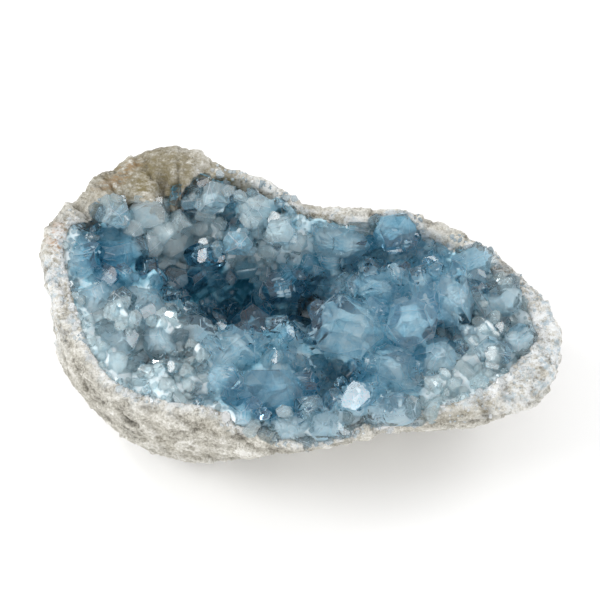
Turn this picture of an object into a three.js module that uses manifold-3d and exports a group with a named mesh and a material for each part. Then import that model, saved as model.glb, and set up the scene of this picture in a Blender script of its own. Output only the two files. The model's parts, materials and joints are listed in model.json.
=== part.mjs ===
// A celestite geode broken open: a rind of pale rock that holds one crust of blue celestite crystals.
// Millimetres, +Z up. It lies on its back with the open side up, -Y is its front and +X its right-hand end.
// The origin is at the middle of its box in plan, on the surface that it rests on.
import * as THREE from "three";
import { ConvexGeometry } from "three/addons/geometries/ConvexGeometry.js";
import { mergeVertices } from "three/addons/utils/BufferGeometryUtils.js";
import Module from "manifold-3d";

const wasm = await Module();
wasm.setup();

// The rock
const HUB = { x: -4, y: -9 }; // the plan point that the bearings below are taken from
const BOX_SHIFT = { x: 2.6, y: -0.3 }; // brings the middle of the whole thing's box to the origin
const FOOT_SHARE = 0.46; // the flat foot's radius as a share of the widest radius above it
const WALL = 8; // thickness of the rock at its widest level
const FLOOR = 11; // height of the inside of the rind over its foot
const LUMP_HEIGHT = 2.6; // broad lumps in the surface
const LUMP_SIZE = 30;
const PIT_HEIGHT = 0.9; // small pits and ridges in it
const PIT_SIZE = 11;
const FOOT_FADE = 0.35; // share of the flank over which they rise from nothing at the flat foot

// The rind every 22.5 degrees round the hub, from +X towards +Y:
// rim radius, rim height, widest radius, its height, bare rock on the rim, roundness of the flank below
const SECTIONS = [
  [114, 59, 116, 48, 9, 0.7],
  [92, 64, 94, 54, 7, 0.7],
  [73, 69, 75, 59, 5, 0.7],
  [57, 72, 59, 62, 4, 0.7],
  [56, 74, 58, 62, 3, 0.7],
  [78, 78, 79, 64, 4, 0.7],
  [108, 80, 110, 62, 18, 0.8],
  [118, 79, 119, 58, 6, 0.9],
  [107, 74, 111, 50, 8, 1.0],
  [92, 68, 97, 38, 4, 1.0],
  [66, 61, 76, 36, 7, 1.0],
  [59, 57, 61, 45, 4, 0.4],
  [59, 56, 59.5, 52, 2, 0],
  [59, 56, 59.5, 53, 2, 0],
  [66, 56, 67, 52, 5, 0.1],
  [105, 57, 106.5, 50, 19, 0.4],
];

// The crust between its crystals
const SEAT_GAP = 0.35; // clearance between the crust and the rock
const PLUG_REACH = 2; // how far the crust's rough form goes into the rock before it is cut clear
const MIDDLE_HEIGHT = 58; // level of the crust at the middle, without its hollows
const MIDDLE_FALL = 0.04; // how much lower it gets per millimetre towards +X
const RIM_DROP = 1; // how far the crust starts below the rock's edge
const LEAST_CRUST = 5; // thickness left under a hollow
const BROKEN_RISE = 7; // how far the broken faces between the crystals rise and fall
const SLOPE_REACH = 3; // half the distance that a slope is measured over

// The hollows in the crust: x, y, half length, half width, turn in degrees, depth
const HOLLOWS = [
  [-27, 8, 42, 25, 8, 38],
  [-58, 30, 24, 17, 20, 26],
  [0, 6, 17, 20, 0, 40],
  [-84, 24, 20, 19, 0, 9],
  [30, 26, 34, 15, 0, 14],
  [9, -36, 13, 15, 0, 14],
];
const HOLLOW_FLAT = 0.45; // share of a hollow's radius that is at its full depth
const HOLLOW_END = 1.05; // share at which its wall reaches the crust's level
const HOLLOW_LIMIT = 0.9; // share of the opening's radius past which no hollow goes

// The crystals that stand out: x, y and z of the tip, lean towards x and y, width, depth, length,
// turn about the crystal's own axis in degrees, and the end face as a share of its section
const MAIN_CRYSTALS = [
  [45, -18, 76, 0.0, -0.5, 23, 20, 36, 20, 0.6],
  [66, -5, 76, 0.1, -0.4, 16, 24, 34, 5, 0.45],
  [50, 14, 70, -0.1, 0.5, 11, 14, 32, 0, 0.4],
  [17, -17, 71, -0.1, -0.4, 31, 26, 40, -15, 0.7],
  [-13, 28, 75, 0.0, -0.9, 13, 12, 26, 10, 0.6],
  [-12, 11, 55, 0.0, -0.8, 18, 15, 36, 5, 0.65],
  [-50, 22, 48, 0.3, -0.7, 19, 16, 34, 30, 0.5],
  [-61, 35, 58, 0.1, -0.6, 16, 15, 30, -10, 0.6],
  [-84, 23, 70, 0.3, -0.4, 27, 25, 34, 15, 0.75],
  [-17, -43, 62, 0.0, -0.4, 31, 17, 34, 0, 0.8],
  [24, -48, 66, 0.3, 0.1, 14, 13, 28, 30, 0.2],
  [-34, -27, 68, -0.1, -0.4, 19, 20, 32, 0, 0.65],
  [38, -33, 67, 0.1, -0.4, 19, 15, 30, -20, 0.55],
  [57, -29, 68, 0.1, -0.4, 20, 15, 30, 12, 0.45],
  [82, -27, 66, 0.2, -0.5, 16, 11, 26, -8, 0.8],
  [37, -55, 63, 0.0, -0.5, 23, 13, 24, 0, 0.65],
  [0, -20, 52, 0.1, 0.0, 21, 17, 28, 25, 0.55],
  [-5, -3, 41, 0.0, -0.3, 20, 18, 24, -12, 0.7],
  [-26, 2, 40, 0.0, -0.5, 18, 16, 24, 40, 0.6],
  [8, -61, 62, 0.0, -0.4, 19, 13, 24, 10, 0.45],
  [-64, -24, 72, 0.2, -0.2, 18, 15, 28, -25, 0.45],
  [-83, -23, 73, 0.0, -0.2, 16, 14, 26, 15, 0.45],
  [-46, -12, 67, 0.5, 0.2, 20, 15, 32, 0, 0.35],
  [74, 17, 69, -0.2, -0.5, 17, 15, 26, 20, 0.55],
  [87, -1, 67, -0.1, -0.4, 15, 17, 24, -30, 0.55],
  [39, 30, 73, 0.0, -0.8, 19, 16, 30, 8, 0.65],
  [15, 28, 66, 0.0, -0.8, 25, 19, 32, -6, 0.65],
  [31, 3, 68, 0.0, -0.5, 17, 15, 30, 15, 0.5],
  [-32, 25, 70, 0.0, -1.0, 13, 11, 24, 0, 0.5],
  [-46, 20, 67, -0.1, -1.0, 9, 9, 22, 20, 0.4],
  [-73, 39, 74, 0.1, -0.8, 19, 13, 26, -5, 0.6],
  [-93, -3, 76, 0.2, -0.1, 17, 15, 26, 35, 0.5],
  [-70, 0, 69, 0.4, 0.0, 21, 17, 30, 10, 0.45],
  [-8, -62, 62, -0.1, -0.5, 18, 13, 24, -18, 0.5],
  [-29, -56, 64, -0.1, -0.4, 18, 14, 26, 12, 0.5],
  [95, -18, 64, 0.2, -0.3, 14, 13, 22, 0, 0.5],
  [-97, 14, 81, 0.2, -0.4, 15, 12, 24, 20, 0.4],
  [-88, 36, 83, 0.1, -0.5, 17, 13, 26, -20, 0.5],
  [-58, 48, 82, 0.0, -0.6, 16, 14, 26, 10, 0.5],
  [-44, 44, 80, -0.1, -0.7, 17, 13, 26, 35, 0.4],
  [-24, 41, 79, 0.1, -0.6, 16, 12, 24, -30, 0.5],
];

// The crystals that fill the crust between them, on a staggered grid
const FILLER_SPACING = 15;
const FILLER_ROWS = 6; // rows and columns on each side of the middle
const FILLER_COLUMNS = 9;
const ROW_PITCH = 0.87; // distance between rows, in spacings
const FILLER_JITTER = 0.5; // share of the spacing that each is moved by
const FILLER_EDGE = 0.91; // share of the opening's radius that they reach
const FILLER_CLEARANCE = 0.4; // how near a main crystal's middle they come, in its widths
const FILLER_WIDTH = [17, 25];
const RIM_SHRINK = 0.75; // size at the rim, as a share of the size at the middle
const FILLER_DEPTH = [0.65, 1]; // in widths
const FILLER_LENGTH = [1.1, 1.7]; // in widths
const FILLER_END = [0.25, 0.6]; // end face as a share of the section
const FILLER_SWAY = 0.7; // how upright they stay against their random lean
const ROOT_SHARE = 0.6; // share of the length that is below the crust's level

// The form of one crystal
const CROSS_SIDES = 6;
const CORNER_JITTER = 0.4; // share of a side's angle that a corner is moved by
const END_HALF_WIDTH = 0.4; // the end face's half sides as shares of width and depth
const END_HALF_DEPTH = 0.32;
const END_TILT = 0.25; // steepest slope of the end face
const BEVEL_RISE = 0.27; // height of the sloping end in widths and depths
const BEVEL_LOSS = 0.6; // how much of that height the largest end face takes away
const BEVEL_LIMIT = 0.5; // most of the length that the sloping end takes

// Mesh steps
const ROCK_COLUMNS = 52;
const CRUST_COLUMNS = 28;
const FLANK_ROWS = 6;
const SHOULDER_ROWS = 3;
const FACE_ROWS = 8;
const BISECTIONS = 12;

const FULL_TURN = 2 * Math.PI;
const SECTION_STEP = FULL_TURN / SECTIONS.length;

// A repeatable number from 0 to 1 for each pair of whole numbers.
function chance(index, channel) {
  const wave = Math.sin(index * 12.9898 + channel * 78.233) * 43758.5453;
  return wave - Math.floor(wave);
}

function mix(from, to, share) {
  return from + (to - from) * share;
}

function smoothStep(low, high, value) {
  const share = Math.min(1, Math.max(0, (value - low) / (high - low)));
  return share * share * (3 - 2 * share);
}

// Evenly spaced values after first, up to and with last.
function steps(first, last, count) {
  return Array.from({ length: count }, (_, i) => mix(first, last, (i + 1) / count));
}

// Smooth noise from -1 to 1 with features about one unit across.
function noise(x, y, z) {
  const cell = [x, y, z].map(Math.floor);
  const [u, v, w] = [x, y, z].map((value, axis) => smoothStep(0, 1, value - cell[axis]));
  const corner = (i, j, k) =>
    chance((cell[0] + i) * 7 + (cell[1] + j) * 131 + (cell[2] + k) * 1009, 5);
  const edge = (j, k) => mix(corner(0, j, k), corner(1, j, k), u);
  return 2 * mix(mix(edge(0, 0), edge(1, 0), v), mix(edge(0, 1), edge(1, 1), v), w) - 1;
}

// The rind's figures at any bearing, on a smooth curve through SECTIONS.
function sectionAt(bearing) {
  const turns = (bearing / SECTION_STEP + SECTIONS.length * 4) % SECTIONS.length;
  const start = Math.floor(turns);
  const t = turns - start;
  const row = (offset) => SECTIONS[(start + offset + SECTIONS.length) % SECTIONS.length];
  const [rim, rimHeight, waist, waistHeight, ledge, roundness] = SECTIONS[0].map((_, column) => {
    const [a, b, c, d] = [-1, 0, 1, 2].map((offset) => row(offset)[column]);
    const bend = 2 * a - 5 * b + 4 * c - d + t * (3 * (b - c) + d - a);
    return b + 0.5 * t * (c - a + t * bend);
  });
  return { rim, rimHeight, waist, waistHeight, ledge, roundness };
}

// The rock's outside at a bearing, or its inside: its radii and heights from foot to rim.
// swell moves either one out of the rock by that much.
function wallAt(bearing, inside, swell = 0) {
  const section = sectionAt(bearing);
  const out = inside ? -swell : swell;
  return {
    foot: section.waist * FOOT_SHARE - (inside ? WALL : 0) + out,
    footHeight: inside ? FLOOR + swell : -swell,
    waist: section.waist - (inside ? Math.max(WALL, section.ledge) : 0) + out,
    waistHeight: section.waistHeight,
    rim: section.rim - (inside ? section.ledge : 0) + out,
    rimHeight: section.rimHeight + swell,
    roundness: section.roundness,
  };
}

// A point of that wall's profile: step is 0 at the foot, 1 at the widest level and 2 at the rim.
function profilePoint(wall, step) {
  if (step <= 1) {
    const angle = (step * Math.PI) / 2;
    const reach = mix(step, Math.sin(angle), wall.roundness);
    const rise = mix(step, 1 - Math.cos(angle), wall.roundness);
    return {
      radius: mix(wall.foot, wall.waist, reach),
      height: mix(wall.footHeight, wall.waistHeight, rise),
    };
  }
  const angle = ((step - 1) * Math.PI) / 2;
  return {
    radius: mix(wall.waist, wall.rim, 1 - Math.cos(angle)),
    height: mix(wall.waistHeight, wall.rimHeight, Math.sin(angle)),
  };
}

function planPoint(bearing, radius, height) {
  return new THREE.Vector3(
    HUB.x + radius * Math.cos(bearing),
    HUB.y + radius * Math.sin(bearing),
    height,
  );
}

// A plan point as a bearing and a radius from the hub.
function fromHub(x, y) {
  return { bearing: Math.atan2(y - HUB.y, x - HUB.x), radius: Math.hypot(x - HUB.x, y - HUB.y) };
}

// How far the rock's surface stands out of its smooth form at a point.
function relief({ x, y, z }) {
  const lumps = noise(x / LUMP_SIZE, y / LUMP_SIZE, z / LUMP_SIZE + 9);
  const pits = noise(x / PIT_SIZE, y / PIT_SIZE, z / PIT_SIZE + 40);
  return LUMP_HEIGHT * lumps + PIT_HEIGHT * pits;
}

// The height of the rind's inside under a plan point.
function rindFloor(bearing, radius) {
  const wall = wallAt(bearing, true);
  let [low, high] = [0, 1];
  for (let pass = 0; pass < BISECTIONS; pass += 1) {
    const middle = (low + high) / 2;
    if (profilePoint(wall, middle).radius < radius) low = middle;
    else high = middle;
  }
  return profilePoint(wall, low).height;
}

// How deep the hollows are at a plan point.
function hollowDepth(x, y) {
  const depths = HOLLOWS.map(([middleX, middleY, halfLength, halfWidth, turn, depth]) => {
    const angle = THREE.MathUtils.degToRad(turn);
    const along = (x - middleX) * Math.cos(angle) + (y - middleY) * Math.sin(angle);
    const across = (y - middleY) * Math.cos(angle) - (x - middleX) * Math.sin(angle);
    const share = Math.hypot(along / halfLength, across / halfWidth);
    return depth * (1 - smoothStep(HOLLOW_FLAT, HOLLOW_END, share));
  });
  return Math.max(...depths);
}

// The level of the crust between its crystals, at a plan point.
function crustLevel(x, y) {
  const { bearing, radius } = fromHub(x, y);
  const wall = wallAt(bearing, true);
  const share = Math.min(1, radius / wall.rim);
  const open = mix(MIDDLE_HEIGHT - MIDDLE_FALL * x, wall.rimHeight - RIM_DROP, share ** 3);
  const level = open - hollowDepth(x, y) * (1 - smoothStep(HOLLOW_LIMIT, 1, share));
  return Math.max(level, Math.min(open, rindFloor(bearing, radius) + LEAST_CRUST));
}

function crustNormal(x, y) {
  const span = 2 * SLOPE_REACH;
  const slopeX = (crustLevel(x + SLOPE_REACH, y) - crustLevel(x - SLOPE_REACH, y)) / span;
  const slopeY = (crustLevel(x, y + SLOPE_REACH) - crustLevel(x, y - SLOPE_REACH)) / span;
  return new THREE.Vector3(-slopeX, -slopeY, 1).normalize();
}

// A closed surface through rings of points, all of one length, from a first pole to a last one.
function closedRings(firstPole, rings, lastPole) {
  const columns = rings[0].length;
  const points = [firstPole, ...rings.flat(), lastPole];
  const at = (ring, column) => 1 + ring * columns + (column % columns);
  const faces = [];
  for (let column = 0; column < columns; column += 1) {
    faces.push(0, at(0, column + 1), at(0, column));
    for (let ring = 0; ring < rings.length - 1; ring += 1) {
      const [a, b] = [at(ring, column), at(ring, column + 1)];
      const [c, d] = [at(ring + 1, column + 1), at(ring + 1, column)];
      faces.push(a, b, c, a, c, d);
    }
    faces.push(at(rings.length - 1, column), at(rings.length - 1, column + 1), points.length - 1);
  }
  return new THREE.BufferGeometry().setFromPoints(points).setIndex(faces);
}

function ringOf(columns, pointAt) {
  return Array.from({ length: columns }, (_, column) => pointAt((column * FULL_TURN) / columns));
}

// One ring of the rock's outside, with its relief, which dies out at the flat foot.
function outsideRing(step, swell) {
  const strength = smoothStep(0, FOOT_FADE, step);
  const sideways = Math.cos((Math.max(0, step - 1) * Math.PI) / 2);
  const upwards = 0.5 * (1 - sideways);
  return ringOf(ROCK_COLUMNS, (bearing) => {
    const { radius, height } = profilePoint(wallAt(bearing, false, swell), step);
    const bump = relief(planPoint(bearing, radius - swell, height)) * strength;
    return planPoint(bearing, radius + bump * sideways, height + bump * upwards);
  });
}

function insideRing(columns, step, swell) {
  return ringOf(columns, (bearing) => {
    const { radius, height } = profilePoint(wallAt(bearing, true, swell), step);
    return planPoint(bearing, radius, height);
  });
}

// The rind of rock, or with a swell the space that the crust keeps clear of.
function rindGeometry(swell = 0) {
  const outside = [0, ...steps(0, 1, FLANK_ROWS), ...steps(1, 2, SHOULDER_ROWS)];
  const inside = [2, ...steps(0, 1, FLANK_ROWS).reverse(), 0];
  const rings = [
    ...outside.map((step) => outsideRing(step, swell)),
    ...inside.map((step) => insideRing(ROCK_COLUMNS, step, swell)),
  ];
  return closedRings(planPoint(0, 0, -swell), rings, planPoint(0, 0, FLOOR + swell));
}

// The crust without its crystals. Its back is inside the rock and is cut off there, and its open side
// has the hollows and the faces of broken crystals.
function plugGeometry() {
  const back = [0, 0.5, 1, 2].map((step) => insideRing(CRUST_COLUMNS, step, -PLUG_REACH));
  const faceRing = (share, ring) =>
    ringOf(CRUST_COLUMNS, (bearing) => {
      const radius = (wallAt(bearing, true).rim + PLUG_REACH) * share;
      const point = planPoint(bearing, radius, 0);
      const broken = BROKEN_RISE * (chance(Math.round(bearing * 100), ring) - 0.5);
      return point.setZ(crustLevel(point.x, point.y) + broken);
    });
  const face = steps(1, 0, FACE_ROWS).slice(0, -1).map(faceRing);
  const middle = planPoint(0, 0, crustLevel(HUB.x, HUB.y));
  return closedRings(planPoint(0, 0, FLOOR - PLUG_REACH), [...back, ...face], middle);
}

// One crystal, tip up at the origin: a blocky six-sided prism whose end slopes in to a small tilted face.
function crystalGeometry(width, depth, length, endShare, index) {
  const section = (height) =>
    Array.from({ length: CROSS_SIDES }, (_, side) => {
      const place = side + CORNER_JITTER * (chance(index, side) - 0.5);
      const angle = (place * FULL_TURN) / CROSS_SIDES;
      return new THREE.Vector3(
        0.5 * width * Math.cos(angle),
        0.5 * depth * Math.sin(angle),
        height,
      );
    });
  const slope = 2 * END_TILT * (chance(index, 11) - 0.5);
  const corners = [[-1, -1], [1, -1], [1, 1], [-1, 1]];
  const end = corners.map(([i, j]) => {
    const x = END_HALF_WIDTH * endShare * width * i;
    const y = END_HALF_DEPTH * endShare * depth * j;
    return new THREE.Vector3(x, y, slope * x - Math.abs(slope * x));
  });
  const bevel = BEVEL_RISE * (1 - BEVEL_LOSS * endShare) * (width + depth);
  const shoulder = -Math.min(BEVEL_LIMIT * length, bevel);
  return new ConvexGeometry([...section(-length), ...section(shoulder), ...end]);
}

// That crystal with its tip at a point, its length along an axis, turned about it by an angle.
function placed(geometry, tip, axis, turn) {
  const upright = new THREE.Vector3(0, 0, 1);
  const swing = new THREE.Quaternion().setFromUnitVectors(upright, axis);
  const spin = new THREE.Quaternion().setFromAxisAngle(upright, turn);
  return geometry.applyQuaternion(swing.multiply(spin)).translate(tip.x, tip.y, tip.z);
}

function mainCrystals() {
  return MAIN_CRYSTALS.map((row, index) => {
    const [x, y, z, leanX, leanY, width, depth, length, turn, endShare] = row;
    const axis = new THREE.Vector3(leanX, leanY, 1).normalize();
    const geometry = crystalGeometry(width, depth, length, endShare, index);
    return placed(geometry, new THREE.Vector3(x, y, z), axis, THREE.MathUtils.degToRad(turn));
  });
}

function nearMainCrystal(x, y) {
  return MAIN_CRYSTALS.some(
    ([mainX, mainY, , , , width]) => Math.hypot(x - mainX, y - mainY) < width * FILLER_CLEARANCE,
  );
}

// The places between the main crystals: the points of the grid inside the opening, each moved a little.
function fillerSites() {
  const sites = [];
  const perRow = 2 * FILLER_COLUMNS + 1;
  for (let row = -FILLER_ROWS; row <= FILLER_ROWS; row += 1) {
    for (let column = -FILLER_COLUMNS; column <= FILLER_COLUMNS; column += 1) {
      const index = (row + FILLER_ROWS) * perRow + column + FILLER_COLUMNS;
      const stagger = (row & 1) / 2;
      const x = (column + stagger + FILLER_JITTER * (chance(index, 20) - 0.5)) * FILLER_SPACING;
      const y = (row + FILLER_JITTER * (chance(index, 19) - 0.5)) * FILLER_SPACING * ROW_PITCH;
      const { bearing, radius } = fromHub(x, y);
      const share = radius / wallAt(bearing, true).rim;
      if (share < FILLER_EDGE && !nearMainCrystal(x, y)) sites.push({ index, x, y, share });
    }
  }
  return sites;
}

function fillerCrystals() {
  return fillerSites().map(({ index, x, y, share }) => {
    const width = mix(...FILLER_WIDTH, chance(index, 21) ** 1.4) * mix(1, RIM_SHRINK, share);
    const depth = width * mix(...FILLER_DEPTH, chance(index, 25));
    const length = width * mix(...FILLER_LENGTH, chance(index, 22));
    const endShare = mix(...FILLER_END, chance(index, 26));
    const lean = new THREE.Vector3(chance(index, 23) - 0.5, chance(index, 24) - 0.6, FILLER_SWAY);
    const axis = crustNormal(x, y).add(lean).normalize();
    const tip = new THREE.Vector3(x, y, crustLevel(x, y));
    tip.addScaledVector(axis, length * (1 - ROOT_SHARE));
    const geometry = crystalGeometry(width, depth, length, endShare, index);
    return placed(geometry, tip, axis, chance(index, 27) * Math.PI);
  });
}

function solidFrom(geometry) {
  const bare = geometry.clone();
  bare.deleteAttribute("normal");
  bare.deleteAttribute("uv");
  const merged = mergeVertices(bare, 1e-4);
  return new wasm.Manifold(
    new wasm.Mesh({
      numProp: 3,
      vertProperties: merged.attributes.position.array,
      triVerts: new Uint32Array(merged.index.array),
    }),
  );
}

function geometryFrom(solid) {
  const { vertProperties, triVerts } = solid.getMesh();
  return new THREE.BufferGeometry()
    .setAttribute("position", new THREE.BufferAttribute(new Float32Array(vertProperties), 3))
    .setIndex(new THREE.BufferAttribute(triVerts, 1));
}

function largest(solids) {
  return solids.reduce((best, solid) => (solid.volume() > best.volume() ? solid : best));
}

// The crust: the plug and all its crystals grown into one, cut clear of the rock.
function crustGeometry() {
  const grown = [...mainCrystals(), ...fillerCrystals()]
    .map(solidFrom)
    .reduce((whole, crystal) => whole.add(crystal), solidFrom(plugGeometry()));
  return geometryFrom(largest(grown.subtract(solidFrom(rindGeometry(SEAT_GAP))).decompose()));
}

function rockMaterial() {
  return new THREE.MeshStandardMaterial({ color: 0xb3aa9c, roughness: 0.9, metalness: 0 });
}

function celestiteMaterial() {
  return new THREE.MeshStandardMaterial({ color: 0x8fb0c4, roughness: 0.15, metalness: 0 });
}

function namedMesh(name, geometry, material) {
  const mesh = new THREE.Mesh(geometry, material);
  mesh.name = name;
  return mesh;
}

const geode = new THREE.Group();
geode.add(namedMesh("rock_rind", rindGeometry(), rockMaterial()));
geode.add(namedMesh("celestite_crust", crustGeometry(), celestiteMaterial()));
geode.position.set(BOX_SHIFT.x, BOX_SHIFT.y, 0);

export default geode;
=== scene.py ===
"""A blue celestite geode half on its back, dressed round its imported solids.

Lengths are millimetres while a shape is made. A finished mesh is in metres, in the frame of the solids.
"""

import json
import logging
import math
from collections.abc import Iterator
from dataclasses import dataclass, field
from enum import Enum

import bmesh
import bpy
from mathutils import Matrix, Quaternion, Vector, noise
from mathutils.bvhtree import BVHTree

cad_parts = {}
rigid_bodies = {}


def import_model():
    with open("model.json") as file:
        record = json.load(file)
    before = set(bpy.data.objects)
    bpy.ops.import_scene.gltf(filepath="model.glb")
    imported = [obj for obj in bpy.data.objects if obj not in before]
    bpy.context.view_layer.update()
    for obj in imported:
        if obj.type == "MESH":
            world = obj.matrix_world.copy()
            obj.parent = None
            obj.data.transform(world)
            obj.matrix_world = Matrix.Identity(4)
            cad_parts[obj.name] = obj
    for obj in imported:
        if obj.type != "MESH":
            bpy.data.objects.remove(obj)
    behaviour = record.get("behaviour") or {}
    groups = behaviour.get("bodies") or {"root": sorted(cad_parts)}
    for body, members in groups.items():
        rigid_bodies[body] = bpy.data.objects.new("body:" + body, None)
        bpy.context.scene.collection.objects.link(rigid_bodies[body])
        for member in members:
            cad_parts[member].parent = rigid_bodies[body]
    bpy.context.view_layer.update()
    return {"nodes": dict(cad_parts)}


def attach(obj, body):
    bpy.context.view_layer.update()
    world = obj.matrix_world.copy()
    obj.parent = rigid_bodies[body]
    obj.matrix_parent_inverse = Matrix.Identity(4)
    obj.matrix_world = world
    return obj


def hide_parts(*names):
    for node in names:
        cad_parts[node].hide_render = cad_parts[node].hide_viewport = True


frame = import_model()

LOG = logging.getLogger("geode")
MM = 0.001
UP = Vector((0.0, 0.0, 1.0))
# The height from which rays are cast down, above everything, in mm
SKY = 200.0

# How many steps of pallor there are while a face carries its own as a material index
PALLOR_LEVELS = 8
# The greatest pallor, just inside the last step
MOST_PALLOR = 0.999
# The direction from which light is painted on the crystals' faces: a face that looks up and to the left
# is painted paler, as if lit
PAINTED_LIGHT_SIDE = Vector((-0.45, -0.1, 0.89))
# Steps of painted light that a face gains on that side, the share of the turn that gains none,
# and the steps by which chance sets faces apart
PAINTED_LIGHT_STEPS = 3.0
PAINTED_LIGHT_START = 0.6
FACE_STEPS = 2.0

# The first seed of each kind of random thing
BRIGHT_SEED = 600
FRONT_SEED = 640
FLAKE_SEED = 700
DRUSE_SHAPE_SEED = 900
COMPANION_SEED = 1000
FIELD_SEED = 10000
VEIL_SEED = 50000
DRUSE_SEED = 80000
CRUMB_SEED = 90000


def chance(index: int, channel: int) -> float:
    """Give a repeatable number from 0 to 1.

    Args:
        index: The thing that the number is for.
        channel: Which of its numbers it is.

    Returns:
        A number from 0 to 1.
    """
    wave = math.sin(index * 12.9898 + channel * 78.233) * 43758.5453
    return wave - math.floor(wave)


def between(low: float, high: float, share: float) -> float:
    """Return the value that lies that share of the way from low to high."""
    return low + (high - low) * share


def picked(low: float, high: float, index: int, channel: int) -> float:
    """Return a repeatable random value from low to high."""
    return between(low, high, chance(index, channel))


def clamped(value: float, most: float = 1.0) -> float:
    """Keep a value from 0 to most."""
    return min(most, max(0.0, value))


def smooth_step(low: float, high: float, value: float) -> float:
    """Rise smoothly from 0 at low to 1 at high.

    Args:
        low: Where the rise starts.
        high: Where it ends.
        value: The place asked about.

    Returns:
        A share from 0 to 1.
    """
    share = clamped((value - low) / (high - low))
    return share * share * (3.0 - 2.0 * share)


def swing_of(axis: Vector, turn: float) -> Quaternion:
    """Return the rotation that turns a thing about the vertical and then leans it to an axis."""
    return UP.rotation_difference(axis.normalized()) @ Quaternion(UP, turn)


def placed(point: Vector, swing: Quaternion, size: float) -> Matrix:
    """Return the matrix that rotates a small shape and puts it in its place.

    Args:
        point: Where its origin goes, in mm.
        swing: Its rotation.
        size: Its size, in mm.

    Returns:
        The matrix, in metres.
    """
    return Matrix.Translation(point * MM) @ swing.to_matrix().to_4x4() @ Matrix.Scale(size * MM, 4)


def link_piece(name: str, mesh: bpy.types.Mesh) -> bpy.types.Object:
    """Put a mesh in the scene as an object at the origin.

    Args:
        name: The piece's name.
        mesh: Its mesh, in metres.

    Returns:
        The new object.
    """
    piece = bpy.data.objects.new(name, mesh)
    bpy.context.scene.collection.objects.link(piece)
    return piece


def merged_copy(node: str) -> bpy.types.Mesh:
    """Copy a solid's mesh with its doubled corners merged.

    Args:
        node: The solid's name in the frame.

    Returns:
        A closed mesh in metres.
    """
    mesh = frame["nodes"][node].data.copy()
    form = bmesh.new()
    form.from_mesh(mesh)
    bmesh.ops.remove_doubles(form, verts=form.verts, dist=1e-6)
    form.to_mesh(mesh)
    form.free()
    mesh.materials.clear()
    return mesh


def tree_of(mesh: bpy.types.Mesh) -> BVHTree:
    """Build a search tree of a mesh, in millimetres.

    Args:
        mesh: The mesh, in metres.

    Returns:
        The tree.
    """
    form = bmesh.new()
    form.from_mesh(mesh)
    bmesh.ops.scale(form, vec=(1.0 / MM,) * 3, verts=form.verts)
    tree = BVHTree.FromBMesh(form)
    form.free()
    return tree


def evaluated_mesh(piece: bpy.types.Object) -> bpy.types.Mesh:
    """Return a new mesh of the piece with its modifiers applied."""
    depsgraph = bpy.context.evaluated_depsgraph_get()
    return bpy.data.meshes.new_from_object(piece.evaluated_get(depsgraph))


@dataclass(frozen=True)
class Patch:
    """A soft-edged oval in plan that adds to a value there, or takes from it.

    Attributes:
        x: Middle, in mm.
        y: Middle, in mm.
        half_length: Reach along its length.
        half_width: Reach across it.
        turn: Turn of its length from +X, in degrees.
        strength: What it adds at its middle.
    """

    x: float
    y: float
    half_length: float
    half_width: float
    turn: float
    strength: float

    def at(self, x: float, y: float) -> float:
        """Return what the patch adds at a plan point."""
        angle = math.radians(self.turn)
        away_x = x - self.x
        away_y = y - self.y
        along = (away_x * math.cos(angle) + away_y * math.sin(angle)) / self.half_length
        across = (away_y * math.cos(angle) - away_x * math.sin(angle)) / self.half_width
        return self.strength * (1.0 - smooth_step(0.35, 1.25, math.hypot(along, across)))


class Habit(Enum):
    """The ways that a crystal ends."""

    TABLE = "table"
    ROOF = "roof"
    POINT = "point"
    CLEAVED = "cleaved"
    FLAT = "flat"


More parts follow.
